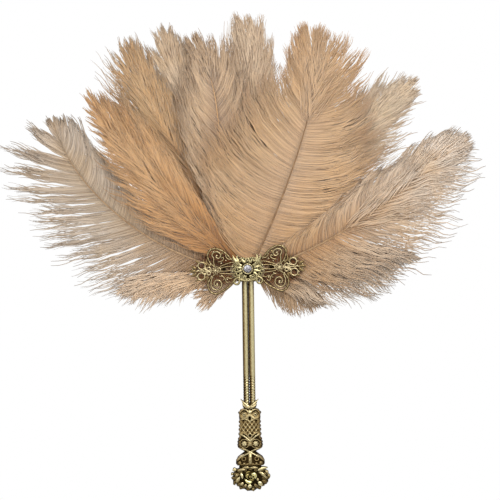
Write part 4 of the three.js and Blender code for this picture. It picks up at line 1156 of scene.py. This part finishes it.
def make_gem():
    """A cut stone. Each facet of its crown has its own corners, so that it can have its own tone."""
    base, rise = CUP_REAR + CUP_HEIGHT - CRYSTAL_DROP, 0.62 * CRYSTAL_HEIGHT
    rings = []
    for step, (out, high) in enumerate(GEM_RING_SHARES):
        turn = turns(GEM_SIDES, 0.5 * step)
        radius = out * CRYSTAL_RADIUS
        rings.append(points_of(radius * np.cos(turn), radius * np.sin(turn), base + high * rise))
    low, middle, top = rings
    facets = []
    for k in range(GEM_SIDES):
        facets.append((low[k], low[(k + 1) % GEM_SIDES], middle[k]))
        facets.append((low[k], middle[k], middle[k - 1]))
        facets.append((middle[k - 1], middle[k], top[k - 1]))
        facets.append((top[k - 1], middle[k], top[k]))
    for k in range(GEM_SIDES):
        facets.append((top[k], top[(k + 1) % GEM_SIDES], (0, 0, base + 0.9 * rise)))
    facets = np.array(facets)
    # Painted light: each facet's tone is lighter the higher it lies, with a random spread.
    upper = facets.mean(1)[:, 1] / CRYSTAL_RADIUS
    stray = np.random.default_rng(5).uniform(-0.3, 0.3, len(facets))
    tone = np.clip(0.5 + 0.4 * upper + stray, 0, 1)
    corners = facets.reshape(-1, 3)
    index = np.arange(GEM_SIDES) + len(corners)
    under = np.stack([np.roll(index, -1), index, np.full(GEM_SIDES, index[-1] + 1)], -1)
    points = np.concatenate([corners, low, [(0, 0, base - 0.4 * CRYSTAL_HEIGHT)]])
    triangles = np.concatenate([np.arange(len(corners)).reshape(-1, 3), under])
    gem = Form()
    relief = np.append(np.repeat(tone, 3), np.full(GEM_SIDES + 1, 0.3))
    gem.add(points, relief, np.zeros((0, 4), int), triangles)
    gem.piece("cut_gem", on_brooch, SLOT_MATERIALS["crystal"], "crystal", ["crystal"], smooth=False)


# The felt over the glued quills.

FELT_WIDTH = 62
FELT_HEIGHT = 21.5
FELT_THICKNESS = 1.5
FELT_EDGE_ROUNDING = 0.5
FELT_CUT_UNEVENNESS = 0.18
FELT_PUCKER = 0.12


def make_felt():
    """An oval cut by hand: its edge is a little uneven and soft, and it puckers gently where the glue
    under it holds it down."""
    rings, steps = 16, 180
    rng = np.random.default_rng(11)
    turn = turns(steps)
    uneven = np.zeros(steps)
    for waves in range(5, 40, 3):
        uneven += rng.normal(0, 1 / math.sqrt(waves)) * np.cos(waves * turn + rng.uniform(0, 2 * math.pi))
    uneven *= FELT_CUT_UNEVENNESS / np.abs(uneven).max()
    half_width = FELT_WIDTH / 2 - FELT_CUT_UNEVENNESS + uneven
    half_height = FELT_HEIGHT / 2 - FELT_CUT_UNEVENNESS + uneven
    share = np.linspace(0.03, 1, rings)[:, None] ** 0.8
    pucker = FELT_PUCKER * np.exp(-((share - 0.84) / 0.08) ** 2) * (0.7 + 0.3 * np.cos(9 * turn))
    fall = np.sqrt(1 - ramp(share, 0.94, 1) ** 2)
    round_off = FELT_EDGE_ROUNDING * (1 - fall)
    x = half_width * share * np.cos(turn)
    z = half_height * share * np.sin(turn)
    rear = points_of(x, -round_off - pucker, z)
    front = points_of(x, -FELT_THICKNESS + round_off, z)[::-1]
    skin = np.concatenate([rear, front]).reshape(-1, 3)
    ends = [(0, 0, 0), (0, -FELT_THICKNESS, 0)]
    points = in_row(*np.concatenate([skin, ends]).T)
    faces = tube_faces(2 * rings, steps)
    felt = mesh_piece("felt_cover", points, faces, SLOT_MATERIALS["felt"], ["felt_backing"])


# The handle's prongs and their collar.

PRONG_RADIUS = 2.3
PRONG_OFFSET = PRONG_RADIUS + FIT_GAP / 2
PRONG_GROWTH = 0.13
PRONG_TOP = HUB_HEIGHT + 2
PRONG_BOTTOM = -6
CHASED_LENGTH = 27
CHASED_FADE = 4
CHASED_PITCH = 2.1
CHASED_DEPTH = 0.3
VINE_PITCH = 7.3
COLLAR_HALF_WIDTH = 7.2
COLLAR_TOP = 7.3
COLLAR_HALF_DEPTH = 4.4
COLLAR_LEAF_SIZE = (1.15, 0.9)
COLLAR_BEAD_HEIGHT = 1.2
COLLAR_BEAD_RADIUS = 1.1
# Shares of the collar's half width and height.
COLLAR_LEAF_SHARES = (
    ((-0.05, 0.02), (0.28, 0.26), (0.62, 0.6), (1.0, 1)),
    ((0.0, 0.0), (0.3, 0.1), (0.6, 0.28), (0.82, 0.6)),
)


def make_prong(name, hand, node):
    """A round rod, smooth above and chased with slanting strokes above the collar."""
    form = Form()
    height = np.linspace(PRONG_BOTTOM, PRONG_TOP, 420)[:, None]
    turn = turns(40)
    chased = 1 - ramp(height, CHASED_LENGTH - CHASED_FADE, CHASED_LENGTH)
    stroke = np.abs(np.sin(math.pi * height / CHASED_PITCH + hand * np.cos(turn) * 1.4))
    vine = np.exp(-((np.cos(turn) - 0.45 * np.sin(2 * math.pi * height / VINE_PITCH)) / 0.2) ** 2)
    cut = chased * CHASED_DEPTH * np.maximum(0, 1 - 1.6 * stroke) * (1 - vine)
    radius = PRONG_RADIUS + PRONG_GROWTH - cut
    middle = hand * PRONG_OFFSET
    rings = points_of(middle + radius * np.cos(turn), height, radius * np.sin(turn))
    # A painted highlight just right of the front and back, as if lit from the right, over the wear there,
    # and painted shade on the flanks, darkest on the left.
    wear_and_sheen = np.exp(-((np.cos(turn) - 0.3) / 0.55) ** 2)
    relief = np.clip(0.3 + 0.9 * wear_and_sheen - 2.6 * cut - 0.1 * chased, 0, 1)
    form.tube(rings, relief, [(middle, PRONG_BOTTOM, 0), (middle, PRONG_TOP, 0)], 0.5)
    form.piece(name, on_handle, BRASS["wear_and_sheen"], "antique_brass", [node])


def make_collar():
    form, quarter = Form(), Form()
    half, top, deep = COLLAR_HALF_WIDTH, COLLAR_TOP, COLLAR_HALF_DEPTH
    share = np.linspace(0, 1, 12)[:, None]
    turn = turns(32)
    rings = points_of(
        half * (0.7 + 0.1 * np.sin(math.pi * share)) * np.cos(turn),
        FIT_GAP + top * share * (0.42 + 0.28 * np.abs(np.cos(turn)) ** 1.5),
        0.72 * deep * np.sin(turn) * (1 + 0.05 * np.cos(math.pi * share)),
    )
    form.tube(rings, 0.15, [(0, FIT_GAP, 0), (0, 0.432 * top, 0)])
    for shares in COLLAR_LEAF_SHARES:
        line = [(a * half, FIT_GAP + b * (top - FIT_GAP), deep * (0.86 - 0.4 * a * a)) for a, b in shares]
        leaf(quarter, spline(line, 6), *COLLAR_LEAF_SIZE)
    for face in (-1, 1):
        form.take(quarter, (-1, 1, face))
        form.take(quarter, (1, 1, face))
        ball(form, (0, COLLAR_BEAD_HEIGHT, face * deep * 0.86), COLLAR_BEAD_RADIUS)
    form.piece("collar_leaves", on_handle, BRASS["antique"], "antique_brass", ["leaf_collar"])


# The cast grip, in millimetres down from its top. Its outline has a half width and a half depth at each
# height. The ornament is given for the right half: domes with their radius, height and how tall they
# are for their width, rings with the radius, half width and height of their bar, bars with their half
# width and height, and pits with their radius and how tall they are for their width.
GRIP_HEIGHT = 46
GRIP_OUTLINE = (
    (0, 5.6, 3.6), (-0.8, 7.4, 4.2), (-3, 8.5, 4.8), (-7, 8.7, 5), (-12, 8.1, 5), (-18, 8.5, 5.2),
    (-23, 8.7, 5.4), (-27, 9.5, 5.6), (-30.5, 9.6, 5.4), (-33, 7.8, 4.6), (-34.6, 4.6, 3.6),
    (-36, 6.4, 4), (-38.5, 9.8, 4.8), (-41.5, 11.5, 5.2), (-44.5, 11.6, 5), (-46, 10.4, 4.2),
)
GRIP_DOMES = (
    ((4.5, -5), 1.9, 1.6, 1), ((0, -2.6), 1.3, 1.5, 2), ((4.6, -28.2), 2.7, 1.9, 1),
    ((0, -28.6), 1.2, 1.3, 1.6), ((8.6, -43.6), 1.5, 1.2, 1), ((4.9, -44.4), 1.3, 1.1, 1),
    ((2.3, -44.8), 1.1, 1.1, 1),
)
GRIP_RINGS = (
    ((4.5, -4.4), 3.6, 0.95, 1.2), ((4.5, -5), 2.2, 0.5, 1.1), ((4.6, -28.2), 3.5, 0.55, 1.1),
    ((5.2, -40.4), 1.5, 0.55, 0.9),
)
GRIP_BARS = (
    (((0, -5.2), (1.7, -7.2), (1.2, -9.6), (0, -11)), 0.75, 1.3),
    (((1.2, -9.8), (4, -8.4), (7.6, -9.2)), 0.8, 1.2),
    (((7.6, -9), (7.3, -13), (7.7, -18), (7.9, -23)), 0.95, 1.2),
    (((8.2, -20.4), (4.6, -22.2), (1.6, -24.6), (0, -26.2)), 0.9, 1.5),
    (((0, -19.6), (1.9, -21.7), (0, -24)), 0.75, 1.3),
    (((1.9, -21.7), (5, -19.6), (7.6, -19)), 0.7, 1.1),
    (((7.6, -32.4), (3.4, -33.4), (0, -35.2)), 0.95, 1.5),
    (((0, -35.2), (3.5, -36.8), (7.6, -38.6), (10.8, -41.6)), 0.95, 1.7),
    (((0, -36.5), (0, -43.4)), 1.7, 1.4),
    (((0, -45.4), (10, -45.2)), 0.7, 0.8),
)
GRIP_PITS = (((0, -7.9), 0.75, 2.2), ((0, -21.8), 0.95, 1.3), ((4.5, -5), 0.55, 1))
PIT_DEPTH = 1.1
ROSETTE = (4.6, -28.2)
ROSETTE_RADIUS = 2.7
ROSETTE_PETAL = 0.25
# The lattice: its field, the height of the field's ground and of the ground elsewhere, and its bars and
# knobs, which repeat across it.
NET_MIDDLE = -15.4
NET_HALF_WIDTH = 7.2
NET_HALF_HEIGHT = 5.2
NET_GROUND = 0.2
GRIP_GROUND = -0.9
NET_PITCH = 3.4
NET_LEAN = 3.9
NET_BAR = (0.7, 1.05)
NET_KNOBS = (
    (0, 0, 0.95, 1.5), (1.7, 2.3, 0.8, 1.4), (1.7, -2.3, 0.8, 1.4), (0, 3.8, 0.6, 0.9),
    (0, -3.8, 0.6, 0.9),
)
# Knobs along the grip's sides.
SIDE_KNOB_ROWS = (-11, -14, -17, -24.4, -26.8, -29.2, -31.4)
EDGE_ROWS = SIDE_KNOB_ROWS + (-3.4, -20.6)
SIDE_KNOB = (1.05, 0.9)
SIDE_KNOB_PLACE = 8.6
EDGE_KNOB_RADIUS = 1.15
EDGE_KNOB_HEIGHT = 0.75
BELL_TOP = 35
BELL_FADE = 2


def raised(away, height):
    """A round crest where away is under 1, and the grip's ground elsewhere."""
    return np.where(away < 1, height * np.sqrt(np.clip(1 - away ** 2, 0, 1)), GRIP_GROUND)


def away_from(u, v, middle, squash=1):
    return np.hypot(u - middle[0], (v - middle[1]) / squash)


def bar_relief(u, v, line, radius, height):
    """The height of a round bar that runs along the line."""
    nearest = np.full(np.shape(u), np.inf)
    for (u0, v0), (u1, v1) in zip(line, line[1:]):
        length = (u1 - u0) ** 2 + (v1 - v0) ** 2
        share = np.clip(((u - u0) * (u1 - u0) + (v - v0) * (v1 - v0)) / length, 0, 1)
        nearest = np.minimum(nearest, np.hypot(u - u0 - share * (u1 - u0), v - v0 - share * (v1 - v0)))
    return raised(nearest / radius, height)


def grip_relief(u, v):
    """The height of the casting's ornament above its body, the same on both halves."""
    u = np.abs(u)
    netted = (u < NET_HALF_WIDTH) & (np.abs(v - NET_MIDDLE) < NET_HALF_HEIGHT)
    domes, bars = list(GRIP_DOMES), list(GRIP_BARS)
    low, high = NET_MIDDLE - NET_HALF_HEIGHT, NET_MIDDLE + NET_HALF_HEIGHT
    for k in range(-3, 4):
        middle = NET_PITCH * k
        left, right = middle - NET_LEAN, middle + NET_LEAN
        bars.append((((left, low), (right, high)), *NET_BAR))
        bars.append((((right, low), (left, high)), *NET_BAR))
        for out, up, radius, height in NET_KNOBS:
            domes.append(((middle + out, NET_MIDDLE + up), radius, height, 1))
    domes += [((SIDE_KNOB_PLACE, row), *SIDE_KNOB, 1) for row in SIDE_KNOB_ROWS]
    relief = np.where(netted, NET_GROUND, GRIP_GROUND)
    for middle, radius, height, squash in domes:
        relief = np.maximum(relief, raised(away_from(u, v, middle, squash) / radius, height))
    for middle, ring_radius, radius, height in GRIP_RINGS:
        away = np.abs(away_from(u, v, middle) - ring_radius) / radius
        relief = np.maximum(relief, raised(away, height))
    for line, radius, height in bars:
        relief = np.maximum(relief, bar_relief(u, v, line, radius, height))
    for middle, radius, squash in GRIP_PITS:
        away = away_from(u, v, middle, squash) / radius
        relief = np.where(away < 1, np.minimum(relief, PIT_DEPTH * (away ** 4 - 1)), relief)
    petals = ROSETTE_PETAL * np.cos(7 * np.arctan2(v - ROSETTE[1], u - ROSETTE[0]))
    inside = away_from(u, v, ROSETTE) < ROSETTE_RADIUS
    return np.where(inside, relief + petals - ROSETTE_PETAL, relief)


def make_grip():
    form = Form()
    height = np.linspace(0, -GRIP_HEIGHT, 300)
    level, wide, thick = np.array(GRIP_OUTLINE).T
    half = np.interp(-height, -level, wide)
    deep = np.interp(-height, -level, thick)[:, None]
    for row in EDGE_ROWS:
        half += EDGE_KNOB_HEIGHT * np.sqrt(np.clip(1 - ((height - row) / EDGE_KNOB_RADIUS) ** 2, 0, 1))
    cosine, sine = np.cos(turns(150)), np.sin(turns(150))
    across = np.sign(cosine) * np.abs(cosine) ** 0.8
    toward = np.sign(sine) * np.abs(sine) ** 0.6
    u, v = np.broadcast_arrays(half[:, None] * across, height[:, None])
    relief = grip_relief(u, v)
    rings = points_of(u, v, (deep + GRIP_GROUND + relief) * toward)
    bell = ramp(-v, BELL_TOP, BELL_TOP + BELL_FADE)
    wear_and_sheen = ramp(relief, -0.6, 1.55) ** 1.25 * (1 - 0.22 * bell) + 0.15 * bell
    flank = 1 - 0.55 * np.abs(across) ** 6
    form.tube(rings, wear_and_sheen * flank, [(0, 0, 0), (0, -GRIP_HEIGHT, 0)], 0.3)
    form.piece("grip_relief", on_handle, BRASS["antique"], "antique_brass", ["grip_casting"])


# The finial: a shell of leaves with a rose in its middle.

FINIAL_HALF_WIDTH = 16
FINIAL_HEIGHT = 21
FINIAL_HALF_DEPTH = 5.5
FINIAL_REAR_RELIEF = 0.42
FINIAL_MIDDLE = -GRIP_HEIGHT - FIT_GAP - 0.5 * FINIAL_HEIGHT
BACK_LEAVES = 17
BACK_LEAF_SIZE = (1.75, 1.2)
SHELL_LEAF_HEIGHT = 1.5
# Each leaf: its line as shares of the shell's half width and half height, its half width in
# millimetres, and how worn it is.
SHELL_LEAF_SHARES = (
    (((-0.48, 0.52), (-0.43, 0.29), (-0.405, 0.02)), 1.15, 1),
    (((-0.53, 0.175), (-0.63, -0.015), (-0.73, -0.245)), 1.4, 0.85),
    (((-0.355, -0.245), (-0.44, -0.36), (-0.53, -0.435)), 1.3, 0.8),
    (((-0.255, -0.36), (-0.26, -0.5), (-0.265, -0.625)), 1.1, 0.7),
    (((-0.045, -0.36), (-0.045, -0.55), (-0.045, -0.7)), 1.9, 1),
    (((0.195, -0.32), (0.25, -0.5), (0.295, -0.66)), 1.25, 0.5),
    (((0.395, -0.17), (0.49, -0.36), (0.57, -0.55)), 1.9, 1),
    (((0.32, 0.1), (0.36, -0.03), (0.395, -0.17)), 0.95, 0.75),
    (((0.42, 0.56), (0.62, 0.37), (0.82, 0.02)), 1.2, 0.85),
    (((0.745, 0.67), (0.83, 0.52), (0.895, 0.33)), 1.1, 0.65),
    (((0.345, 0.63), (0.57, 0.79), (0.87, 0.86)), 1.4, 0.9),
    (((0.87, 0.37), (0.93, 0.24), (0.97, 0.1)), 1.0, 0.65),
    (((-0.705, 0.75), (-0.8, 0.72), (-0.9, 0.63)), 1.5, 0.9),
    (((-0.63, 0.37), (-0.7, 0.3), (-0.755, 0.21)), 1.1, 0.7),
    (((-0.86, 0.46), (-0.92, 0.4), (-0.98, 0.3)), 0.95, 0.7),
    (((-0.23, 0.71), (-0.45, 0.73), (-0.655, 0.62)), 1.2, 0.7),
    (((-0.03, 0.86), (0.17, 0.88), (0.4, 0.84)), 1.1, 0.75),
    (((-0.03, 0.86), (-0.2, 0.89), (-0.4, 0.88)), 1.1, 0.7),
    (((0.62, -0.2), (0.74, -0.28), (0.82, -0.36)), 1.5, 0.3),
    (((-0.75, -0.3), (-0.82, -0.33), (-0.88, -0.38)), 1.4, 0.35),
    (((-0.45, -0.6), (-0.5, -0.68), (-0.53, -0.78)), 1.4, 0.35),
    (((0.1, -0.66), (0.12, -0.8), (0.14, -0.94)), 1.3, 0.5),
    (((0.42, -0.6), (0.45, -0.7), (0.48, -0.8)), 1.4, 0.35),
)
NECK_HALF_WIDTH = 0.58 * FINIAL_HALF_WIDTH
NECK_HALF_DEPTH = 0.5 * FINIAL_HALF_DEPTH
# The neck's rings: how far each lies above the shell's top, and its share of the neck's half width.
NECK_RINGS = ((1.6, 0.9), (-1, 1), (-6, 0.9))


def make_shell():
    """Leaves of many sizes round the rose, on both faces of one lens-shaped shell."""
    form, front = Form(), Form()
    half_width, half_height, deep = FINIAL_HALF_WIDTH, 0.5 * FINIAL_HEIGHT, FINIAL_HALF_DEPTH
    steps, rings = 170, 12
    turn = turns(steps)
    lobe = np.abs(np.cos(0.5 * BACK_LEAVES * (turn - math.pi / 2)))
    pointed = 1 - 0.06 * np.clip(-np.sin(turn), 0, 1) * np.abs(np.cos(turn)) * 4
    edge = pointed * (1 + 0.1 * np.exp(-((np.sin(turn) - 0.75) / 0.3) ** 2))
    share = np.linspace(0.05, 1, rings)[:, None]
    reach = share * (0.9 + 0.06 * lobe) * edge
    face = points_of(
        half_width * reach * np.cos(turn),
        half_height * reach * np.sin(turn) + FINIAL_MIDDLE,
        0.5 * deep * np.sqrt(1 - (0.97 * share) ** 4),
    )
    worn = np.repeat((0.04, FINIAL_REAR_RELIEF), rings)[:, None]
    ends = [(0, FINIAL_MIDDLE, face[0, 0, 2]), (0, FINIAL_MIDDLE, -face[0, 0, 2])]
    form.tube(np.concatenate([face, face[::-1] * (1, 1, -1)]), worn, ends)
    for angle in turns(BACK_LEAVES) + math.pi / 2:
        end = 0.98 * np.interp(angle, turn, edge, period=2 * math.pi)
        step = np.linspace(0, 1, 6)
        out = 0.55 + (end - 0.55) * step
        u, v = half_width * out * math.cos(angle), half_height * out * math.sin(angle) + FINIAL_MIDDLE
        leaf(front, points_of(u, v, deep * (0.42 - 0.12 * step)), *BACK_LEAF_SIZE, 0.9, 0.36)
    for shares, half, bright in SHELL_LEAF_SHARES:
        a, b = np.array(shares).T
        level = deep * (0.78 - 0.3 * (a * a + b * b))
        line = spline(points_of(half_width * a, half_height * b + FINIAL_MIDDLE, level), 4)
        leaf(front, line, half, SHELL_LEAF_HEIGHT, 1.1, bright)
    form.take(front, (1, 1, -1))
    form.take(front, (1, 1, 1))
    rise, out = np.array(NECK_RINGS).T[..., None]
    level = FINIAL_MIDDLE + half_height + rise
    around = turns(32)
    neck = points_of(NECK_HALF_WIDTH * out * np.cos(around), level, NECK_HALF_DEPTH * np.sin(around))
    form.tube(neck, 0.05, [(0, level[0, 0], 0), (0, level[-1, 0], 0)])
    form.piece("shell_leaves", on_handle, BRASS["leafy"], "antique_brass", ["finial_shell"])


ROSE_RADIUS = 5.4
ROSE_MIDDLE = FINIAL_MIDDLE + 0.1 * FINIAL_HEIGHT
ROSE_SEAT = 0.55 * FINIAL_HALF_DEPTH
BOWL_FOOT = 0.4
BOWL_RISE = 1.9
PETAL_FOOT = 1.1
PETAL_RISE = 1.5
PETAL_HEIGHT = 1.3
ROSE_EYE = (2.1, ROSE_MIDDLE - 0.1, ROSE_SEAT + 2.7)
ROSE_EYE_RADIUS = 1.15
ROSE_EYE_WIRE = 0.5
# The rose's petals, from its middle in millimetres, each with its half width and how worn it is.
ROSE_PETALS = (
    (((-4.2, -2.0), (-2.9, -3.8), (-0.5, -4.5), (1.3, -4.0)), 1.3, 1),
    (((0.7, 1.8), (2.7, 2.3), (4.2, 0.7), (3.8, -1.8)), 1.25, 1),
    (((-1.3, 2.3), (-3.0, 0.7), (-2.3, -1.4)), 1.1, 0.7),
    (((-1.3, -2.2), (1.0, -2.7), (3.0, -2.2)), 0.8, 0.5),
    (((-0.9, 1.1), (-0.5, -0.2), (0.1, -1.4)), 0.75, 0.55),
    (((-3.9, 1.6), (-2.4, 3.6), (0, 4.2)), 1.0, 0.5),
)


def make_rose():
    form = Form()
    turn = turns(48)
    share = np.linspace(1, 0.06, 8)[:, None]
    reach = 0.94 * ROSE_RADIUS * share
    foot = ROSE_SEAT + BOWL_FOOT
    bowl = points_of(
        reach * np.cos(turn), reach * np.sin(turn) + ROSE_MIDDLE, foot + BOWL_RISE * np.sqrt(1 - share ** 2)
    )
    form.tube(bowl, 0.08, [(0, ROSE_MIDDLE, foot), (0, ROSE_MIDDLE, foot + BOWL_RISE)])
    for petal, half, worn in ROSE_PETALS:
        u, v = np.array(petal).T
        dome = np.sqrt(np.maximum(0, 1 - (u * u + v * v) / ROSE_RADIUS ** 2))
        line = points_of(u, v + ROSE_MIDDLE, ROSE_SEAT + PETAL_FOOT + PETAL_RISE * dome)
        leaf(form, spline(line, 5), half, PETAL_HEIGHT, 1, worn)
    eye = circle(ROSE_EYE, ROSE_EYE_RADIUS, 14)
    wire(form, eye, ROSE_EYE_WIRE, closed=True, sides=8, shine=0.9)
    form.piece("rose_petals", on_handle, BRASS["rose"], "bright_brass", ["finial_rose"])


make_filigree()
make_blossom("left_blossom", -1, "left_flower")
make_blossom("right_blossom", 1, "right_flower")
make_ornament()
make_cup()
make_gem()
make_felt()
make_prong("left_rod", -1, "left_prong")
make_prong("right_rod", 1, "right_prong")
make_collar()
make_grip()
make_shell()
make_rose()


# Floor, light and camera. The floor and the lamps are in metres.

FLOOR_DROP = 0.45
FLOOR_NEAR = 3
FLOOR_FAR = 9
FLOOR_GLOW = 0.45
ROOM_LIGHT = 0.49
# Each lamp: its name, place, aim, side and power in watts.
LAMPS = (
    ("key", (0.42, -1.5, 1), (0, 0, 0.15), 0.8, 20),
    ("fill", (-1.2, -1, 0.5), (0, 0, 0.12), 0.9, 7),
    ("rear", (-0.4, 1.4, 0.9), (0, 0, 0.15), 0.9, 15),
)
# The photograph's centre in the row's frame and the width that it covers, in millimetres, its roll, and
# the camera's lens and sensor.
VIEW_CENTRE = (2.1, -8, 127)
VIEW_WIDTH = 400
VIEW_ROLL = math.radians(0.81)
VIEW_LENS = 150
SENSOR_WIDTH = 36


def make_stage():
    left, right, front, rear = -FLOOR_NEAR, FLOOR_FAR, -FLOOR_FAR, FLOOR_NEAR
    mesh = bpy.data.meshes.new("floor")
    corners = [(left, front), (right, front), (right, rear), (left, rear)]
    mesh.from_pydata([(x, y, -FLOOR_DROP) for x, y in corners], [], [(0, 1, 2, 3)])
    nodes = material_nodes("pale floor")
    seen = nodes.add("LightPath").outputs["Is Camera Ray"]
    nodes.set(
        Base_Color=grey(0.86), Roughness=0.9, Emission_Color=grey(1),
        Emission_Strength=nodes.calculate("MULTIPLY", seen, FLOOR_GLOW),
    )
    mesh.materials.append(nodes.owner)
    linked("floor", mesh)


def make_world():
    """White to the camera, and to what shines or is seen through, and dimmer as light."""
    world = bpy.data.worlds.new("studio")
    bpy.context.scene.world = world
    nodes = Nodes(world, "Background")
    path = nodes.add("LightPath").outputs
    through = nodes.calculate("MAXIMUM", path["Is Glossy Ray"], path["Is Transmission Ray"])
    seen = nodes.calculate("MAXIMUM", path["Is Camera Ray"], through)
    strength = nodes.add("MapRange", Value=seen, To_Min=ROOM_LIGHT).outputs["Result"]
    nodes.set(Color=grey(1), Strength=strength)


def make_lamps():
    for name, place, aim, size, power in LAMPS:
        lamp = bpy.data.lights.new(name, "AREA")
        lamp.shape = "SQUARE"
        lamp.size = size
        lamp.energy = power
        holder = linked(name, lamp)
        holder.location = place
        holder.rotation_mode = "QUATERNION"
        holder.rotation_quaternion = (Vector(aim) - Vector(place)).to_track_quat("-Z", "Y")


def make_camera():
    camera = bpy.data.cameras.new("camera")
    camera.lens = VIEW_LENS
    camera.sensor_width = SENSOR_WIDTH
    holder = linked("camera", camera)
    x, y, z = (value * MM for value in VIEW_CENTRE)
    holder.location = (x, y - VIEW_WIDTH * MM * VIEW_LENS / SENSOR_WIDTH, z)
    holder.rotation_euler = (math.pi / 2, VIEW_ROLL, 0)
    bpy.context.scene.camera = holder


make_stage()
make_world()
make_camera()
make_lamps()

bpy.context.scene.view_settings.view_transform = "Standard"
